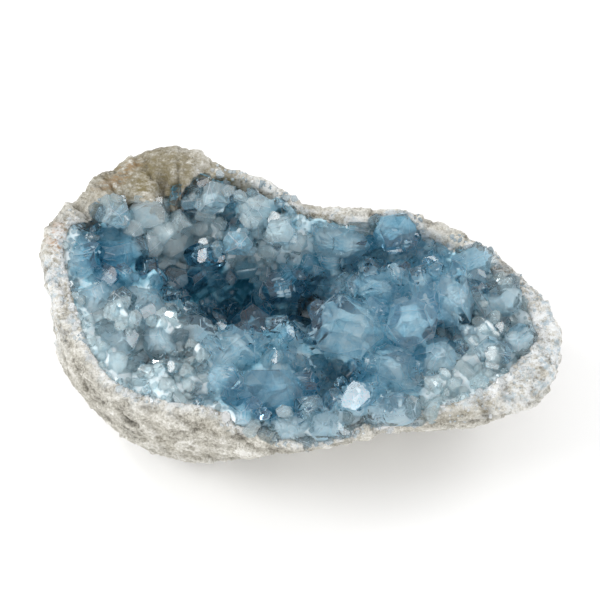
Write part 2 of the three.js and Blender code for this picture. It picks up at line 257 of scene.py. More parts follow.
@dataclass(frozen=True)
class Crystal:
    """One blocky prism with a faceted end.

    Attributes:
        tip: Middle of its end, in mm.
        axis: Direction from root to tip.
        width: Size across.
        depth: Size across the other way.
        length: Size along the axis.
        turn: Turn about the axis, in radians.
        end_share: Size of the flat end as a share of the section.
        habit: How it ends.
        pallor: How pale and milky it is, from 0 to 1.
        seed: Picks its small differences.
        edge: Width of the worn strip along its edges, 0 for none.
        worn_share: Share of its edges that are worn.
    """

    tip: Vector
    axis: Vector
    width: float
    depth: float
    length: float
    turn: float
    end_share: float
    habit: Habit
    pallor: float
    seed: int
    edge: float = 0.0
    worn_share: float = 0.7

    def cut(self, form: bmesh.types.BMesh, point: Vector, normal: Vector) -> None:
        """Cut away what lies outside a plane and close the cut.

        Args:
            form: The crystal so far, tip at the origin and axis up.
            point: A point of the plane.
            normal: Its outward direction.
        """
        parts = form.verts[:] + form.edges[:] + form.faces[:]
        made = bmesh.ops.bisect_plane(
            form, geom=parts, dist=1e-5, plane_co=point, plane_no=normal, clear_outer=True
        )
        rim = [part for part in made["geom_cut"] if isinstance(part, bmesh.types.BMEdge)]
        if rim:
            bmesh.ops.edgeloop_fill(form, edges=rim)

    def slope(self, form: bmesh.types.BMesh, heading: float, reach: float, steepness: float) -> None:
        """Cut one sloping face of the end.

        Args:
            form: The crystal so far.
            heading: The way the face looks in the section, in degrees.
            reach: Where it meets the level of the tip, as a share of the half section.
            steepness: Angle between the face's outward direction and the axis, in degrees.
        """
        angle = math.radians(heading)
        tilt = math.radians(steepness)
        point = Vector((
            0.5 * self.width * reach * math.cos(angle),
            0.5 * self.depth * reach * math.sin(angle),
            0.0,
        ))
        normal = Vector((
            math.cos(angle) * math.sin(tilt),
            math.sin(angle) * math.sin(tilt),
            math.cos(tilt),
        ))
        self.cut(form, point, normal)

    def shape_sides(self, form: bmesh.types.BMesh) -> None:
        """Cut the four corners of the block so that its section has six to eight sides."""
        for number, (side_x, side_y) in enumerate(((1, 1), (-1, 1), (-1, -1), (1, -1))):
            spare = picked(0.98, 1.16, self.seed, number + 30)
            point = Vector((0.5 * self.width * spare * side_x, 0.0, 0.0))
            normal = Vector((0.433 * self.depth * side_x, 0.25 * self.width * side_y, 0.0))
            self.cut(form, point, normal.normalized())

    def shape_end(self, form: bmesh.types.BMesh) -> None:
        """Cut the faces of the end for the crystal's habit."""
        if self.habit is Habit.TABLE:
            self.shape_table(form)
        elif self.habit is Habit.ROOF:
            self.shape_roof(form)
        elif self.habit is Habit.POINT:
            self.shape_point(form)
        elif self.habit is Habit.CLEAVED:
            self.shape_cleft(form)
        else:
            self.shape_flat(form)

    def shape_table(self, form: bmesh.types.BMesh) -> None:
        """Cut a broad end that leans a little, with uneven faces down to the sides."""
        heading = math.radians(360.0 * chance(self.seed, 40))
        tilt = math.radians(picked(3.0, 16.0, self.seed, 41))
        normal = Vector((
            math.cos(heading) * math.sin(tilt),
            math.sin(heading) * math.sin(tilt),
            math.cos(tilt),
        ))
        self.cut(form, Vector((0.0, 0.0, -0.03 * self.width)), normal)
        count = 4 + int(3 * chance(self.seed, 42))
        for number in range(count):
            way = 360.0 / count * number + picked(-20.0, 20.0, self.seed, number + 43)
            reach = self.end_share * picked(0.75, 1.3, self.seed, number + 51)
            self.slope(form, way, reach, picked(34.0, 62.0, self.seed, number + 61))

    def shape_flat(self, form: bmesh.types.BMesh) -> None:
        """Leave a flat end and cut three faces down to the sides."""
        for number in range(3):
            way = 120.0 * number + picked(-30.0, 30.0, self.seed, number + 43)
            self.slope(form, way, picked(0.7, 0.95, self.seed, number + 51), 50.0)

    def shape_roof(self, form: bmesh.types.BMesh) -> None:
        """Cut two broad faces that meet in a ridge, and two smaller ones at its ends."""
        lean = picked(-1.0, 1.0, self.seed, 40)
        for number, way in enumerate((90.0, 270.0)):
            steep = picked(30.0, 50.0, self.seed, number + 42)
            self.slope(form, way + 9.0 * lean, 0.1 + 0.15 * lean, steep)
        for number, way in enumerate((0.0, 180.0)):
            reach = self.end_share * picked(0.7, 1.4, self.seed, number + 44)
            self.slope(form, way + 12.0 * lean, reach, picked(46.0, 66.0, self.seed, number + 46))

    def shape_point(self, form: bmesh.types.BMesh) -> None:
        """Cut three to five uneven faces that meet near the tip."""
        count = 3 + int(3 * chance(self.seed, 45))
        for number in range(count):
            way = 360.0 / count * number + picked(-20.0, 20.0, self.seed, number + 46)
            reach = picked(0.0, 0.4, self.seed, number + 56)
            self.slope(form, way, reach, picked(34.0, 58.0, self.seed, number + 66))

    def shape_cleft(self, form: bmesh.types.BMesh) -> None:
        """Cut one broad broken face across the end, and two smaller ones."""
        way = 360.0 * chance(self.seed, 47)
        reach = picked(-0.2, 0.2, self.seed, 48)
        self.slope(form, way, reach, picked(18.0, 34.0, self.seed, 49))
        self.slope(form, way + picked(110.0, 160.0, self.seed, 50), 0.45, 46.0)
        self.slope(form, way - picked(110.0, 160.0, self.seed, 51), 0.6, 54.0)

    def chip(self, form: bmesh.types.BMesh) -> None:
        """Cut a few small chips from the rim of the end."""
        for number in range(1 + int(3 * chance(self.seed, 70))):
            heading = 360.0 * chance(self.seed, number + 71)
            reach = picked(0.72, 0.95, self.seed, number + 75)
            self.slope(form, heading, reach, picked(58.0, 75.0, self.seed, number + 79))

    def wear_edges(self, form: bmesh.types.BMesh, carrier: int) -> None:
        """Bevel most of the edges and mark the new strips.

        Args:
            form: The crystal so far.
            carrier: The material index that marks a strip.
        """
        worn = [edge for edge in form.edges if chance(self.seed, edge.index + 100) < self.worn_share]
        made = bmesh.ops.bevel(
            form,
            geom=worn,
            offset=self.edge,
            offset_type="OFFSET",
            segments=1,
            profile=0.5,
            affect="EDGES",
            clamp_overlap=True,
            material=-1,
        )
        for face in made["faces"]:
            face.material_index = carrier
        bmesh.ops.connect_verts_nonplanar(form, angle_limit=0.01, faces=form.faces[:])

    def face_level_with_painted_light(self, number: int, normal: Vector) -> int:
        """Return the pallor level of a face, with painted light: a face that looks up and to the left
        is painted paler.

        Args:
            number: The face's number.
            normal: The direction that it looks in, in the frame of the solids.

        Returns:
            A level from 0 to one below PALLOR_LEVELS.
        """
        # Painted light: a face turned to the upper left is made paler, and one turned away is made
        # darker.
        shift = PAINTED_LIGHT_STEPS * (normal.dot(PAINTED_LIGHT_SIDE) - PAINTED_LIGHT_START)
        shift += FACE_STEPS * (chance(self.seed, number + 200) - 0.5)
        level = int(self.pallor * PALLOR_LEVELS + shift)
        return min(PALLOR_LEVELS - 1, max(0, level))

    def grow(self) -> bpy.types.Mesh:
        """Make the crystal's mesh in its place.

        Returns:
            A closed mesh in metres, whose material indices carry its pallor.
        """
        level = min(PALLOR_LEVELS - 1, int(self.pallor * PALLOR_LEVELS))
        swing = swing_of(self.axis, self.turn)
        form = bmesh.new()
        bmesh.ops.create_cube(form, size=1.0)
        bmesh.ops.scale(form, vec=(self.width, 0.9 * self.depth, self.length), verts=form.verts)
        bmesh.ops.translate(form, vec=(0.0, 0.0, -0.5 * self.length), verts=form.verts)
        self.shape_sides(form)
        self.shape_end(form)
        if self.edge > 0.0:
            self.chip(form)
        form.normal_update()
        for number, face in enumerate(form.faces):
            face.material_index = self.face_level_with_painted_light(number, swing @ face.normal)
        if self.edge > 0.0:
            self.wear_edges(form, PALLOR_LEVELS + level)
        form.transform(placed(self.tip, swing, 1.0))
        mesh = bpy.data.meshes.new("crystal")
        form.to_mesh(mesh)
        form.free()
        return mesh


# The crystals that stand out: x, y and z of the tip, lean towards x and y, width, depth, length,
# turn about the crystal's own axis in degrees, and the end face as a share of its section
MAIN_CRYSTALS = (
    (45, -18, 76, 0.0, -0.5, 23, 20, 36, 20, 0.6),
    (66, -5, 76, 0.1, -0.4, 16, 24, 34, 5, 0.45),
    (50, 14, 70, -0.1, 0.5, 11, 14, 32, 0, 0.4),
    (17, -17, 71, -0.1, -0.4, 31, 26, 40, -15, 0.7),
    (-13, 28, 75, 0.0, -0.9, 13, 12, 26, 10, 0.6),
    (-12, 11, 55, 0.0, -0.8, 18, 15, 36, 5, 0.65),
    (-50, 22, 48, 0.3, -0.7, 19, 16, 34, 30, 0.5),
    (-61, 35, 58, 0.1, -0.6, 16, 15, 30, -10, 0.6),
    (-84, 23, 70, 0.3, -0.4, 27, 25, 34, 15, 0.75),
    (-17, -43, 62, 0.0, -0.4, 31, 17, 34, 0, 0.8),
    (24, -48, 66, 0.3, 0.1, 14, 13, 28, 30, 0.2),
    (-34, -27, 68, -0.1, -0.4, 19, 20, 32, 28, 0.65),
    (38, -33, 67, 0.1, -0.4, 19, 15, 30, -20, 0.55),
    (57, -29, 68, 0.1, -0.4, 20, 15, 30, 12, 0.45),
    (82, -27, 66, 0.2, -0.5, 16, 11, 26, -8, 0.8),
    (37, -55, 63, 0.0, -0.5, 23, 13, 24, 0, 0.65),
    (0, -20, 52, 0.1, 0.0, 21, 17, 28, 25, 0.55),
    (-5, -3, 41, 0.0, -0.3, 20, 18, 24, -12, 0.7),
    (-26, 2, 40, 0.0, -0.5, 18, 16, 24, 40, 0.6),
    (8, -61, 62, 0.0, -0.4, 19, 13, 24, 10, 0.45),
    (-64, -24, 72, 0.2, -0.2, 18, 15, 28, -25, 0.45),
    (-83, -23, 73, 0.0, -0.2, 16, 14, 26, 15, 0.45),
    (-46, -12, 67, 0.5, 0.2, 20, 15, 32, 0, 0.35),
    (74, 17, 69, -0.2, -0.5, 17, 15, 26, 20, 0.55),
    (87, -1, 67, -0.1, -0.4, 15, 17, 24, -30, 0.55),
    (39, 30, 73, 0.0, -0.8, 19, 16, 30, 8, 0.65),
    (15, 28, 66, 0.0, -0.8, 25, 19, 32, -6, 0.65),
    (31, 3, 68, 0.0, -0.5, 17, 15, 30, 15, 0.5),
    (-32, 25, 70, 0.0, -1.0, 13, 11, 24, 0, 0.5),
    (-46, 20, 67, -0.1, -1.0, 9, 9, 22, 20, 0.4),
    (-73, 39, 74, 0.1, -0.8, 19, 13, 26, -5, 0.6),
    (-93, -3, 76, 0.2, -0.1, 17, 15, 26, 35, 0.5),
    (-70, 0, 69, 0.4, 0.0, 21, 17, 30, 10, 0.45),
    (-8, -62, 62, -0.1, -0.5, 18, 13, 24, -18, 0.5),
    (-29, -56, 64, -0.1, -0.4, 18, 14, 26, 12, 0.5),
    (95, -18, 64, 0.2, -0.3, 14, 13, 22, 35, 0.55),
    (-97, 14, 81, 0.2, -0.4, 15, 12, 24, 20, 0.4),
    (-88, 36, 83, 0.1, -0.5, 17, 13, 26, -20, 0.5),
    (-51, 50, 81, 0.0, -0.6, 19, 15, 26, 10, 0.5),
    (-44, 44, 80, -0.1, -0.7, 17, 13, 26, 35, 0.4),
    (-24, 41, 79, 0.1, -0.6, 16, 12, 24, -30, 0.5),
)

# Brings the places above into the frame of the solids
CRYSTAL_SHIFT = Vector((2.6, -0.3, 0.0))

# Where the crust is paler than its mean, or darker where the strength is below 0; the darker patch in
# the hollow is painted shade
PALLOR_AND_SHADE_PATCHES = (
    Patch(-44.0, 36.0, 48.0, 11.0, -3.0, 0.44),
    Patch(-70.0, -26.0, 36.0, 30.0, 0.0, 0.55),
    Patch(86.0, -34.0, 38.0, 20.0, 28.0, 0.62),
    Patch(94.0, -6.0, 20.0, 30.0, 12.0, 0.46),
    Patch(20.0, -62.0, 60.0, 12.0, 4.0, 0.4),
    Patch(19.0, -14.0, 20.0, 17.0, 0.0, -0.04),
    Patch(70.0, -30.0, 18.0, 12.0, 0.0, 0.18),
    Patch(-82.0, 20.0, 21.0, 16.0, 0.0, -0.34),
    # Painted shade: the hollow is darker.
    Patch(-26.0, 16.0, 40.0, 17.0, 4.0, -0.4),
    Patch(-10.0, -46.0, 26.0, 15.0, 0.0, -0.16),
    Patch(50.0, 28.0, 34.0, 14.0, -20.0, -0.14),
)
# Where the strip beside the rock isn't as pale as elsewhere
RIM_PATCHES = (
    Patch(76.0, 30.0, 50.0, 22.0, -28.0, -0.8),
    Patch(12.0, 36.0, 44.0, 16.0, -6.0, -0.8),
    Patch(-60.0, 56.0, 50.0, 18.0, -12.0, -1.3),
)

# How far the strip of crumbs beside the rock reaches over the crust, in mm
CRUMB_STRIP = 1.2
# Where the lip of the rock is drawn over the crust beyond that, and how far, in mm
EARTH_PATCHES = (
    Patch(-84.0, 54.0, 32.0, 20.0, 20.0, 5.5),
    Patch(-60.0, 61.0, 26.0, 18.0, -10.0, 4.0),
    Patch(-28.0, 47.0, 18.0, 14.0, -30.0, 4.0),
)

# The plan point that the lip of the rock reaches for, in mm
HOLLOW_MIDDLE = (-45.0, 0.0)


def total(patches: tuple[Patch, ...], point: Vector) -> float:
    """Return what some patches add together at a point."""
    return sum(patch.at(point.x, point.y) for patch in patches)


def earth_reach(point: Vector) -> float:
    """Return how far over the crust rock and crumbs reach at a point, in mm: a ragged edge."""
    area = CRUMB_STRIP + total(EARTH_PATCHES, point)
    return area * (1.0 + 0.8 * noise.noise(point / 9.0))


def lip_reach(point: Vector) -> float:
    """Return how far over the crust the lip of the rock reaches at a point, in mm."""
    return max(0.0, earth_reach(point) - CRUMB_STRIP)


@dataclass(frozen=True)
class Pit:
    """A gap between crystals, sunk into the mass and painted dark with shade: its middle in plan, its
    reach and its depth, in mm.
    """

    x: float
    y: float
    reach: float
    depth: float

    def at(self, point: Vector) -> float:
        """Return how much of the pit is at a point, from 0 to 1."""
        away = math.hypot(point.x - self.x, point.y - self.y)
        return 1.0 - smooth_step(0.5, 1.2, away / self.reach)


# The gaps in the crust, sunk and painted dark with shade
PITS = (
    Pit(3.0, 12.0, 6.0, 6.0),
    Pit(-40.0, 32.0, 5.0, 2.5),
    Pit(-49.0, 22.0, 5.0, 2.5),
    Pit(-28.0, 26.0, 5.0, 2.5),
    Pit(19.0, -33.0, 5.0, 4.0),
)


@dataclass(frozen=True)
class Knob:
    """A swelling of the rock, or a dent where its height is below 0.

    Its middle, its reach and its height are in mm.
    """

    x: float
    y: float
    z: float
    reach: float
    height: float

    def at(self, point: Vector) -> float:
        """Return how far the knob raises the rock at a point."""
        away = (point - Vector((self.x, self.y, self.z))).length / self.reach
        return self.height * (1.0 - smooth_step(0.0, 1.0, away))


# What the outline of the rock has beyond its solid
KNOBS = (
    Knob(-59.6, 70.0, 74.0, 30.0, 6.0),
    Knob(-114.0, 20.0, 72.0, 26.0, 3.2),
    Knob(-104.0, -26.0, 42.0, 26.0, 2.0),
    Knob(114.0, -27.0, 52.0, 24.0, 1.0),
    Knob(84.0, -49.0, 48.0, 36.0, -1.6),
    Knob(-23.0, -69.0, 42.0, 14.0, 3.0),
    Knob(29.0, -63.0, 50.0, 18.0, 2.4),
)


class Bench:
    """A material being wired."""

    def __init__(self, name: str) -> None:
        """Start a material with a plain shader."""
        self.material = bpy.data.materials.new(name)
        self.material.use_nodes = True
        self.nodes = self.material.node_tree.nodes
        self.links = self.material.node_tree.links
        self.body = self.nodes["Principled BSDF"]
        self.place = self.nodes.new("ShaderNodeTexCoord").outputs["Object"]

    def connect(self, source: bpy.types.NodeSocket, name: str) -> None:
        """Wire a value to one of the shader's sockets."""
        self.links.new(source, self.body.inputs[name])

    def attribute(self, name: str) -> bpy.types.NodeSocket:
        """Return the value of a mesh attribute."""
        node = self.nodes.new("ShaderNodeAttribute")
        node.attribute_name = name
        return node.outputs["Fac"]

    def turned(
        self, turn: tuple[float, float, float], scale: tuple[float, float, float],
    ) -> bpy.types.NodeSocket:
        """Return the coordinates turned, in degrees, and scaled."""
        node = self.nodes.new("ShaderNodeMapping")
        node.inputs["Rotation"].default_value = [math.radians(angle) for angle in turn]
        node.inputs["Scale"].default_value = scale
        self.links.new(self.place, node.inputs["Vector"])
        return node.outputs["Vector"]

    def noise(
        self, scale: float, detail: float, roughness: float, place: bpy.types.NodeSocket | None = None,
    ) -> bpy.types.NodeSocket:
        """Add a noise texture.

        Args:
            scale: Its scale, per metre.
            detail: Its octaves.
            roughness: How strong the finer octaves are.
            place: The coordinates to read, or the object's own.

        Returns:
            The noise's value.
        """
        node = self.nodes.new("ShaderNodeTexNoise")
        node.inputs["Scale"].default_value = scale
        node.inputs["Detail"].default_value = detail
        node.inputs["Roughness"].default_value = roughness
        self.links.new(place or self.place, node.inputs["Vector"])
        return node.outputs["Fac"]

    def cells(self, scale: float, place: bpy.types.NodeSocket | None = None) -> bpy.types.NodeSocket:
        """Add angular cells, each with its own value."""
        node = self.nodes.new("ShaderNodeTexVoronoi")
        node.inputs["Scale"].default_value = scale
        self.links.new(place or self.place, node.inputs["Vector"])
        split = self.nodes.new("ShaderNodeSeparateColor")
        self.links.new(node.outputs["Color"], split.inputs["Color"])
        return split.outputs["Red"]

    def mapped(
        self, source: bpy.types.NodeSocket, source_range: tuple[float, float],
        result_range: tuple[float, float] = (0.0, 1.0),
    ) -> bpy.types.NodeSocket:
        """Map one range of a value onto another.

        Args:
            source: The value.
            source_range: The range that it has.
            result_range: The range that it gets.

        Returns:
            The mapped value.
        """
        node = self.nodes.new("ShaderNodeMapRange")
        node.inputs["From Min"].default_value = source_range[0]
        node.inputs["From Max"].default_value = source_range[1]
        node.inputs["To Min"].default_value = result_range[0]
        node.inputs["To Max"].default_value = result_range[1]
        self.links.new(source, node.inputs["Value"])
        return node.outputs["Result"]

    def combined(
        self, operation: str, first: bpy.types.NodeSocket, second: bpy.types.NodeSocket,
    ) -> bpy.types.NodeSocket:
        """Combine two values and keep the result from 0 to 1."""
        node = self.nodes.new("ShaderNodeMath")
        node.operation = operation
        node.use_clamp = True
        self.links.new(first, node.inputs[0])
        self.links.new(second, node.inputs[1])
        return node.outputs[0]

    def ramp(self, source: bpy.types.NodeSocket, stops: tuple) -> bpy.types.NodeSocket:
        """Colour a value by a ramp.

        Args:
            source: The value.
            stops: Places and colours.

        Returns:
            The colour.
        """
        node = self.nodes.new("ShaderNodeValToRGB")
        elements = node.color_ramp.elements
        for number, (stop, colour) in enumerate(stops):
            element = elements[number] if number < 2 else elements.new(stop)
            element.position = stop
            element.color = (*colour, 1.0)
        self.links.new(source, node.inputs["Fac"])
        return node.outputs["Color"]

    def over(
        self, share: bpy.types.NodeSocket, under: bpy.types.NodeSocket, colour: tuple,
    ) -> bpy.types.NodeSocket:
        """Lay a plain colour over another by a share.

        Args:
            share: How much of it shows.
            under: The colour below.
            colour: The plain colour.

        Returns:
            The mixed colour.
        """
        node = self.nodes.new("ShaderNodeMix")
        node.data_type = "RGBA"
        # Sockets of several kinds share their names here, so the colour ones are reached by number
        self.links.new(share, node.inputs[0])
        self.links.new(under, node.inputs[6])
        node.inputs[7].default_value = (*colour, 1.0)
        return node.outputs[2]

    def bump(self, height: bpy.types.NodeSocket, strength: float, distance: float) -> None:
        """Raise the shader's surface by a height, at most distance in mm."""
        node = self.nodes.new("ShaderNodeBump")
        node.inputs["Strength"].default_value = strength
        node.inputs["Distance"].default_value = distance * MM
        self.links.new(height, node.inputs["Height"])
        self.connect(node.outputs["Normal"], "Normal")


@dataclass(frozen=True)
class CelestiteFinish:
    """See-through blue crystal.

    Attributes:
        name: The material's name.
        tones: Ramp stops from blue to pale: place and colour.
        roughness: Least and greatest roughness of a face.
        transmission: Share of light that goes through.
        ior: Refractive index.
        absorb: Colour that thick crystal takes.
        density: Strength of that, per metre.
        grain: Height of the faces' fine relief, in mm.
        worn_edge_and_highlight_tone: Colour of worn edges, paler than the faces: partly wear and partly
            a painted highlight along them.
        worn_roughness: How much rougher they are than the faces.
    """

    name: str = "clear_celestite"
    tones: tuple = (
        (0.0, (0.50, 0.76, 0.90)),
        (1.0, (0.88, 0.97, 1.0)),
    )
    roughness: tuple = (0.0, 0.08)
    transmission: float = 1.0
    ior: float = 1.62
    absorb: tuple = (0.32, 0.68, 0.84)
    density: float = 20.0
    grain: float = 0.015
    worn_edge_and_highlight_tone: tuple = (0.78, 0.91, 1.0)
    worn_roughness: float = 0.3

    def material(self) -> bpy.types.Material:
        """Make the material."""
        bench = Bench(self.name)
        cloud = bench.mapped(bench.noise(150.0, 4.0, 0.6), (0.3, 0.7), (-0.3, 0.3))
        milk = bench.combined("ADD", bench.attribute("pallor"), cloud)
        worn = bench.attribute("edge")
        colour = bench.ramp(milk, self.tones)
        # Partly painted highlight: the worn edge strips are paler.
        bench.connect(bench.over(worn, colour, self.worn_edge_and_highlight_tone), "Base Color")
        fine = bench.noise(380.0, 3.0, 0.6)
        rough = bench.mapped(fine, (0.42, 0.68), self.roughness)
        wear = bench.mapped(worn, (0.0, 1.0), (0.0, self.worn_roughness))
        rough = bench.combined("ADD", rough, wear)
        bench.connect(rough, "Roughness")
        bench.bump(fine, 0.3, self.grain)
        bench.body.inputs["Transmission Weight"].default_value = self.transmission
        bench.body.inputs["IOR"].default_value = self.ior
        if self.density == 0.0:
            return bench.material
        inside = bench.nodes.new("ShaderNodeVolumeAbsorption")
        inside.inputs["Color"].default_value = (*self.absorb, 1.0)
        inside.inputs["Density"].default_value = self.density
        bench.links.new(inside.outputs["Volume"], bench.nodes["Material Output"].inputs["Volume"])
        return bench.material


@dataclass(frozen=True)
class MassFinish:
    """Cloudy celestite, from deep blue to white.

    Attributes:
        name: The material's name.
        tones: Ramp stops from blue to white: place and colour.
        cell_change: How far one grain's tone is from its neighbours'.
        cloud_change: How far the clouds shift the tone.
        fleck_tone: Colour of its fine white flecks.
    """

    name: str = "cloudy_celestite"
    tones: tuple = (
        (0.0, (0.012, 0.135, 0.22)),
        (0.25, (0.13, 0.41, 0.56)),
        (0.5, (0.39, 0.69, 0.82)),
        (0.75, (0.69, 0.86, 0.93)),
        (1.0, (0.86, 0.94, 0.97)),
    )
    cell_change: float = 0.13
    cloud_change: float = 0.26
    fleck_tone: tuple = (0.95, 0.98, 1.0)

    def material(self) -> bpy.types.Material:
        """Make the material."""
        bench = Bench(self.name)
        cloud_range = (-self.cloud_change, self.cloud_change)
        cell_range = (-self.cell_change, self.cell_change)
        cloud = bench.mapped(bench.noise(110.0, 7.0, 0.72), (0.3, 0.7), cloud_range)
        grains = bench.mapped(bench.cells(190.0), (0.0, 1.0), cell_range)
        milk = bench.combined("ADD", bench.combined("ADD", bench.attribute("pallor"), cloud), grains)
        flecks = bench.mapped(bench.noise(520.0, 4.0, 0.7), (0.60, 0.68), (0.0, 0.7))
        flecks = bench.combined("MULTIPLY", flecks, milk)
        colour = bench.over(flecks, bench.ramp(milk, self.tones), self.fleck_tone)
        bench.connect(colour, "Base Color")
        bench.body.inputs["Roughness"].default_value = 0.4
        bench.bump(bench.noise(300.0, 4.0, 0.6), 0.5, 0.4)
        return bench.material


# The length that a crystal may have with no rock below it, and how far its root may go
# into the rock, in mm
OPEN_ROOM = 100.0
ROOT_BITE = 2.0


class Solids:
    """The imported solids, as trees to measure from."""

    def __init__(self) -> None:
        """Copy the solids' meshes."""
        self.crust_mesh = merged_copy("celestite_crust")
        self.rock_mesh = merged_copy("rock_rind")
        self.crust = tree_of(self.crust_mesh)
        self.rock = tree_of(self.rock_mesh)

    def to_rock(self, point: Vector) -> float:
        """Return the distance from a point to the rock, in mm."""
        return self.rock.find_nearest(point)[3]

    def to_crust(self, point: Vector) -> float:
        """Return the distance from a point to the crust, in mm."""
        return self.crust.find_nearest(point)[3]

    def top_at(self, x: float, y: float) -> Vector:
        """Return the highest point of the solids at a plan point, or one on the floor."""
        above = Vector((x, y, SKY))
        hits = [tree.ray_cast(above, -UP)[0] for tree in (self.crust, self.rock)]
        return max((hit or Vector((x, y, 0.0)) for hit in hits), key=lambda hit: hit.z)

    def crust_top(self, x: float, y: float) -> Vector | None:
        """Return the highest point of the crust at a plan point, or None beside the crust."""
        return self.crust.ray_cast(Vector((x, y, SKY)), -UP)[0]

    def root_room(self, tip: Vector, axis: Vector, width: float) -> float:
        """Tell how long a crystal can be before its root comes out of the rock's back.

        Args:
            tip: Middle of its end, in mm.
            axis: Direction from root to tip.
            width: Size across.

        Returns:
            A length in mm, at least half the width.
        """
        swing = UP.rotation_difference(axis)
        room = OPEN_ROOM
        for side_x, side_y in ((0, 0), (1, 1), (-1, 1), (-1, -1), (1, -1)):
            start = tip + swing @ Vector((0.5 * width * side_x, 0.5 * width * side_y, 0.0))
            away = self.rock.ray_cast(start, -axis)[3]
            if away is not None:
                room = min(room, away + ROOT_BITE)
        return max(0.5 * width, room)


def celled(
    name: str, solid: bpy.types.Mesh, voxel: float, rounds: int,
) -> tuple[bpy.types.Object, bmesh.types.BMesh]:
    """Give a solid an even mesh and smooth it.

    Args:
        name: The new piece's name.
        solid: The solid's mesh.
        voxel: Size of the new mesh's cells, in mm.
        rounds: How often it is smoothed.

    Returns:
        The piece, and its new mesh as a bmesh.
    """
    piece = link_piece(name, solid)
    remesh = piece.modifiers.new("cells", "REMESH")
    remesh.mode = "VOXEL"
    remesh.voxel_size = voxel * MM
    piece.data = evaluated_mesh(piece)
    piece.modifiers.clear()
    form = bmesh.new()
    form.from_mesh(piece.data)
    for _ in range(rounds):
        bmesh.ops.smooth_vert(
            form, verts=form.verts, factor=0.5, use_axis_x=True, use_axis_y=True, use_axis_z=True,
        )
    form.normal_update()
    return piece, form


def main_crystals_at(point: Vector) -> Iterator[tuple[float, float]]:
    """Go through the crystals that stand out near a point.

    Args:
        point: The point, in mm.

    Yields:
        The crystal's width in mm, and how far the point is from its axis, in widths.
    """
    for x, y, z, lean_x, lean_y, width, *_ in MAIN_CRYSTALS:
        away = point - Vector((x, y, z)) - CRYSTAL_SHIFT
        if away.length > 1.5 * width:
            continue
        axis = Vector((lean_x, lean_y, 1.0)).normalized()
        yield width, (away - axis * away.dot(axis)).length / width


@dataclass
class MilkyMass:
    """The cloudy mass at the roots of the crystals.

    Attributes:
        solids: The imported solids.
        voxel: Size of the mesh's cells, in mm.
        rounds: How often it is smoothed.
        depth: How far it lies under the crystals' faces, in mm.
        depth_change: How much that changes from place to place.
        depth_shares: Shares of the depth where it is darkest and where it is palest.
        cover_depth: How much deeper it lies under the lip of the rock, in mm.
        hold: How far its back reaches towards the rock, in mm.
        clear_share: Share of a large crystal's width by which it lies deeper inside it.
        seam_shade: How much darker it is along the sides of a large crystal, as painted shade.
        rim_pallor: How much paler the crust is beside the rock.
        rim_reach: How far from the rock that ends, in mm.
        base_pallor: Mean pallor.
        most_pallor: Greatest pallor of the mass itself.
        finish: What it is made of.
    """

    solids: Solids
    voxel: float = 1.4
    rounds: int = 5
    depth: float = 3.2
    depth_change: float = 1.4
    depth_shares: tuple[float, float] = (1.4, 0.45)
    cover_depth: float = 9.0
    hold: float = 0.5
    clear_share: float = 0.09
    seam_shade: float = 0.2
    rim_pallor: float = 0.2
    rim_reach: float = 9.0
    base_pallor: float = 0.7
    most_pallor: float = 0.95
    finish: MassFinish = MassFinish()

    def pallor_at(self, point: Vector) -> float:
        """Tell how pale the crust is at a point, with painted shade in the hollow and in the pits."""
        gap = self.solids.to_rock(point)
        rim = self.rim_pallor * (1.0 - smooth_step(1.0, self.rim_reach, gap))
        rim *= max(-0.2, 1.0 + total(RIM_PATCHES, point))
        area = total(PALLOR_AND_SHADE_PATCHES, point)
        # Painted shade: the crust is darker in its pits.
        gaps = sum(pit.at(point) for pit in PITS)
        return self.base_pallor + area + rim - gaps

    def seam_shade_at(self, point: Vector) -> float:
        """Tell how much darker the mass is along the sides of the crystals that stand out, as painted
        shade.
        """
        rings = (
            smooth_step(0.38, 0.52, aside) * (1.0 - smooth_step(0.56, 0.74, aside))
            for _, aside in main_crystals_at(point)
        )
        return self.seam_shade * max(rings, default=0.0)

    def hollowed(self, point: Vector) -> float:
        """Tell how much deeper the mass lies inside the crystals that stand out."""
        depths = (
            width * (1.0 - smooth_step(0.2, 0.55, aside))
            for width, aside in main_crystals_at(point)
        )
        return self.clear_share * max(depths, default=0.0)

    def build(self) -> None:
        """Build the mass from the solid crust, rounded and sunk."""
        piece, form = celled("celestite_mass", self.solids.crust_mesh, self.voxel, self.rounds)
        moves = []
        for vertex in form.verts:
            point = vertex.co / MM
            gap = self.solids.to_rock(point)
            covered = smooth_step(1.0, 3.0, earth_reach(point))
            free = max(covered, smooth_step(1.2, 4.0, gap))
            pale = clamped(self.pallor_at(point))
            sunk = self.depth * between(*self.depth_shares, pale) * smooth_step(2.0, 9.0, gap)
            sunk += self.depth_change * noise.fractal(point / 8.0, 1.0, 2.0, 4)
            sunk += sum(pit.depth * pit.at(point) for pit in PITS)
            sunk += self.hollowed(point)
            sunk += self.cover_depth * covered
            moves.append(vertex.normal * MM * between(self.hold, -sunk, free))
        for vertex, move in zip(form.verts, moves):
            vertex.co += move
        form.normal_update()
        self.places = [
            (vertex.co / MM, vertex.normal.copy()) for vertex in form.verts
            if vertex.normal.z > -0.3 and self.solids.to_rock(vertex.co / MM) > 0.9
        ]
        mesh = piece.data
        form.to_mesh(mesh)
        form.free()
        pallor = mesh.attributes.new("pallor", "FLOAT", "POINT").data
        for vertex in mesh.vertices:
            point = vertex.co / MM
            # Painted shade along the sides of the crystals that stand out.
            own = self.pallor_at(point) - self.seam_shade_at(point)
            pallor[vertex.index].value = clamped(own, self.most_pallor)
        mesh.materials.clear()
        mesh.materials.append(self.finish.material())
        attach(piece, "root")
        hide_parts("celestite_crust")
        LOG.info("celestite_mass: %d faces", len(mesh.polygons))


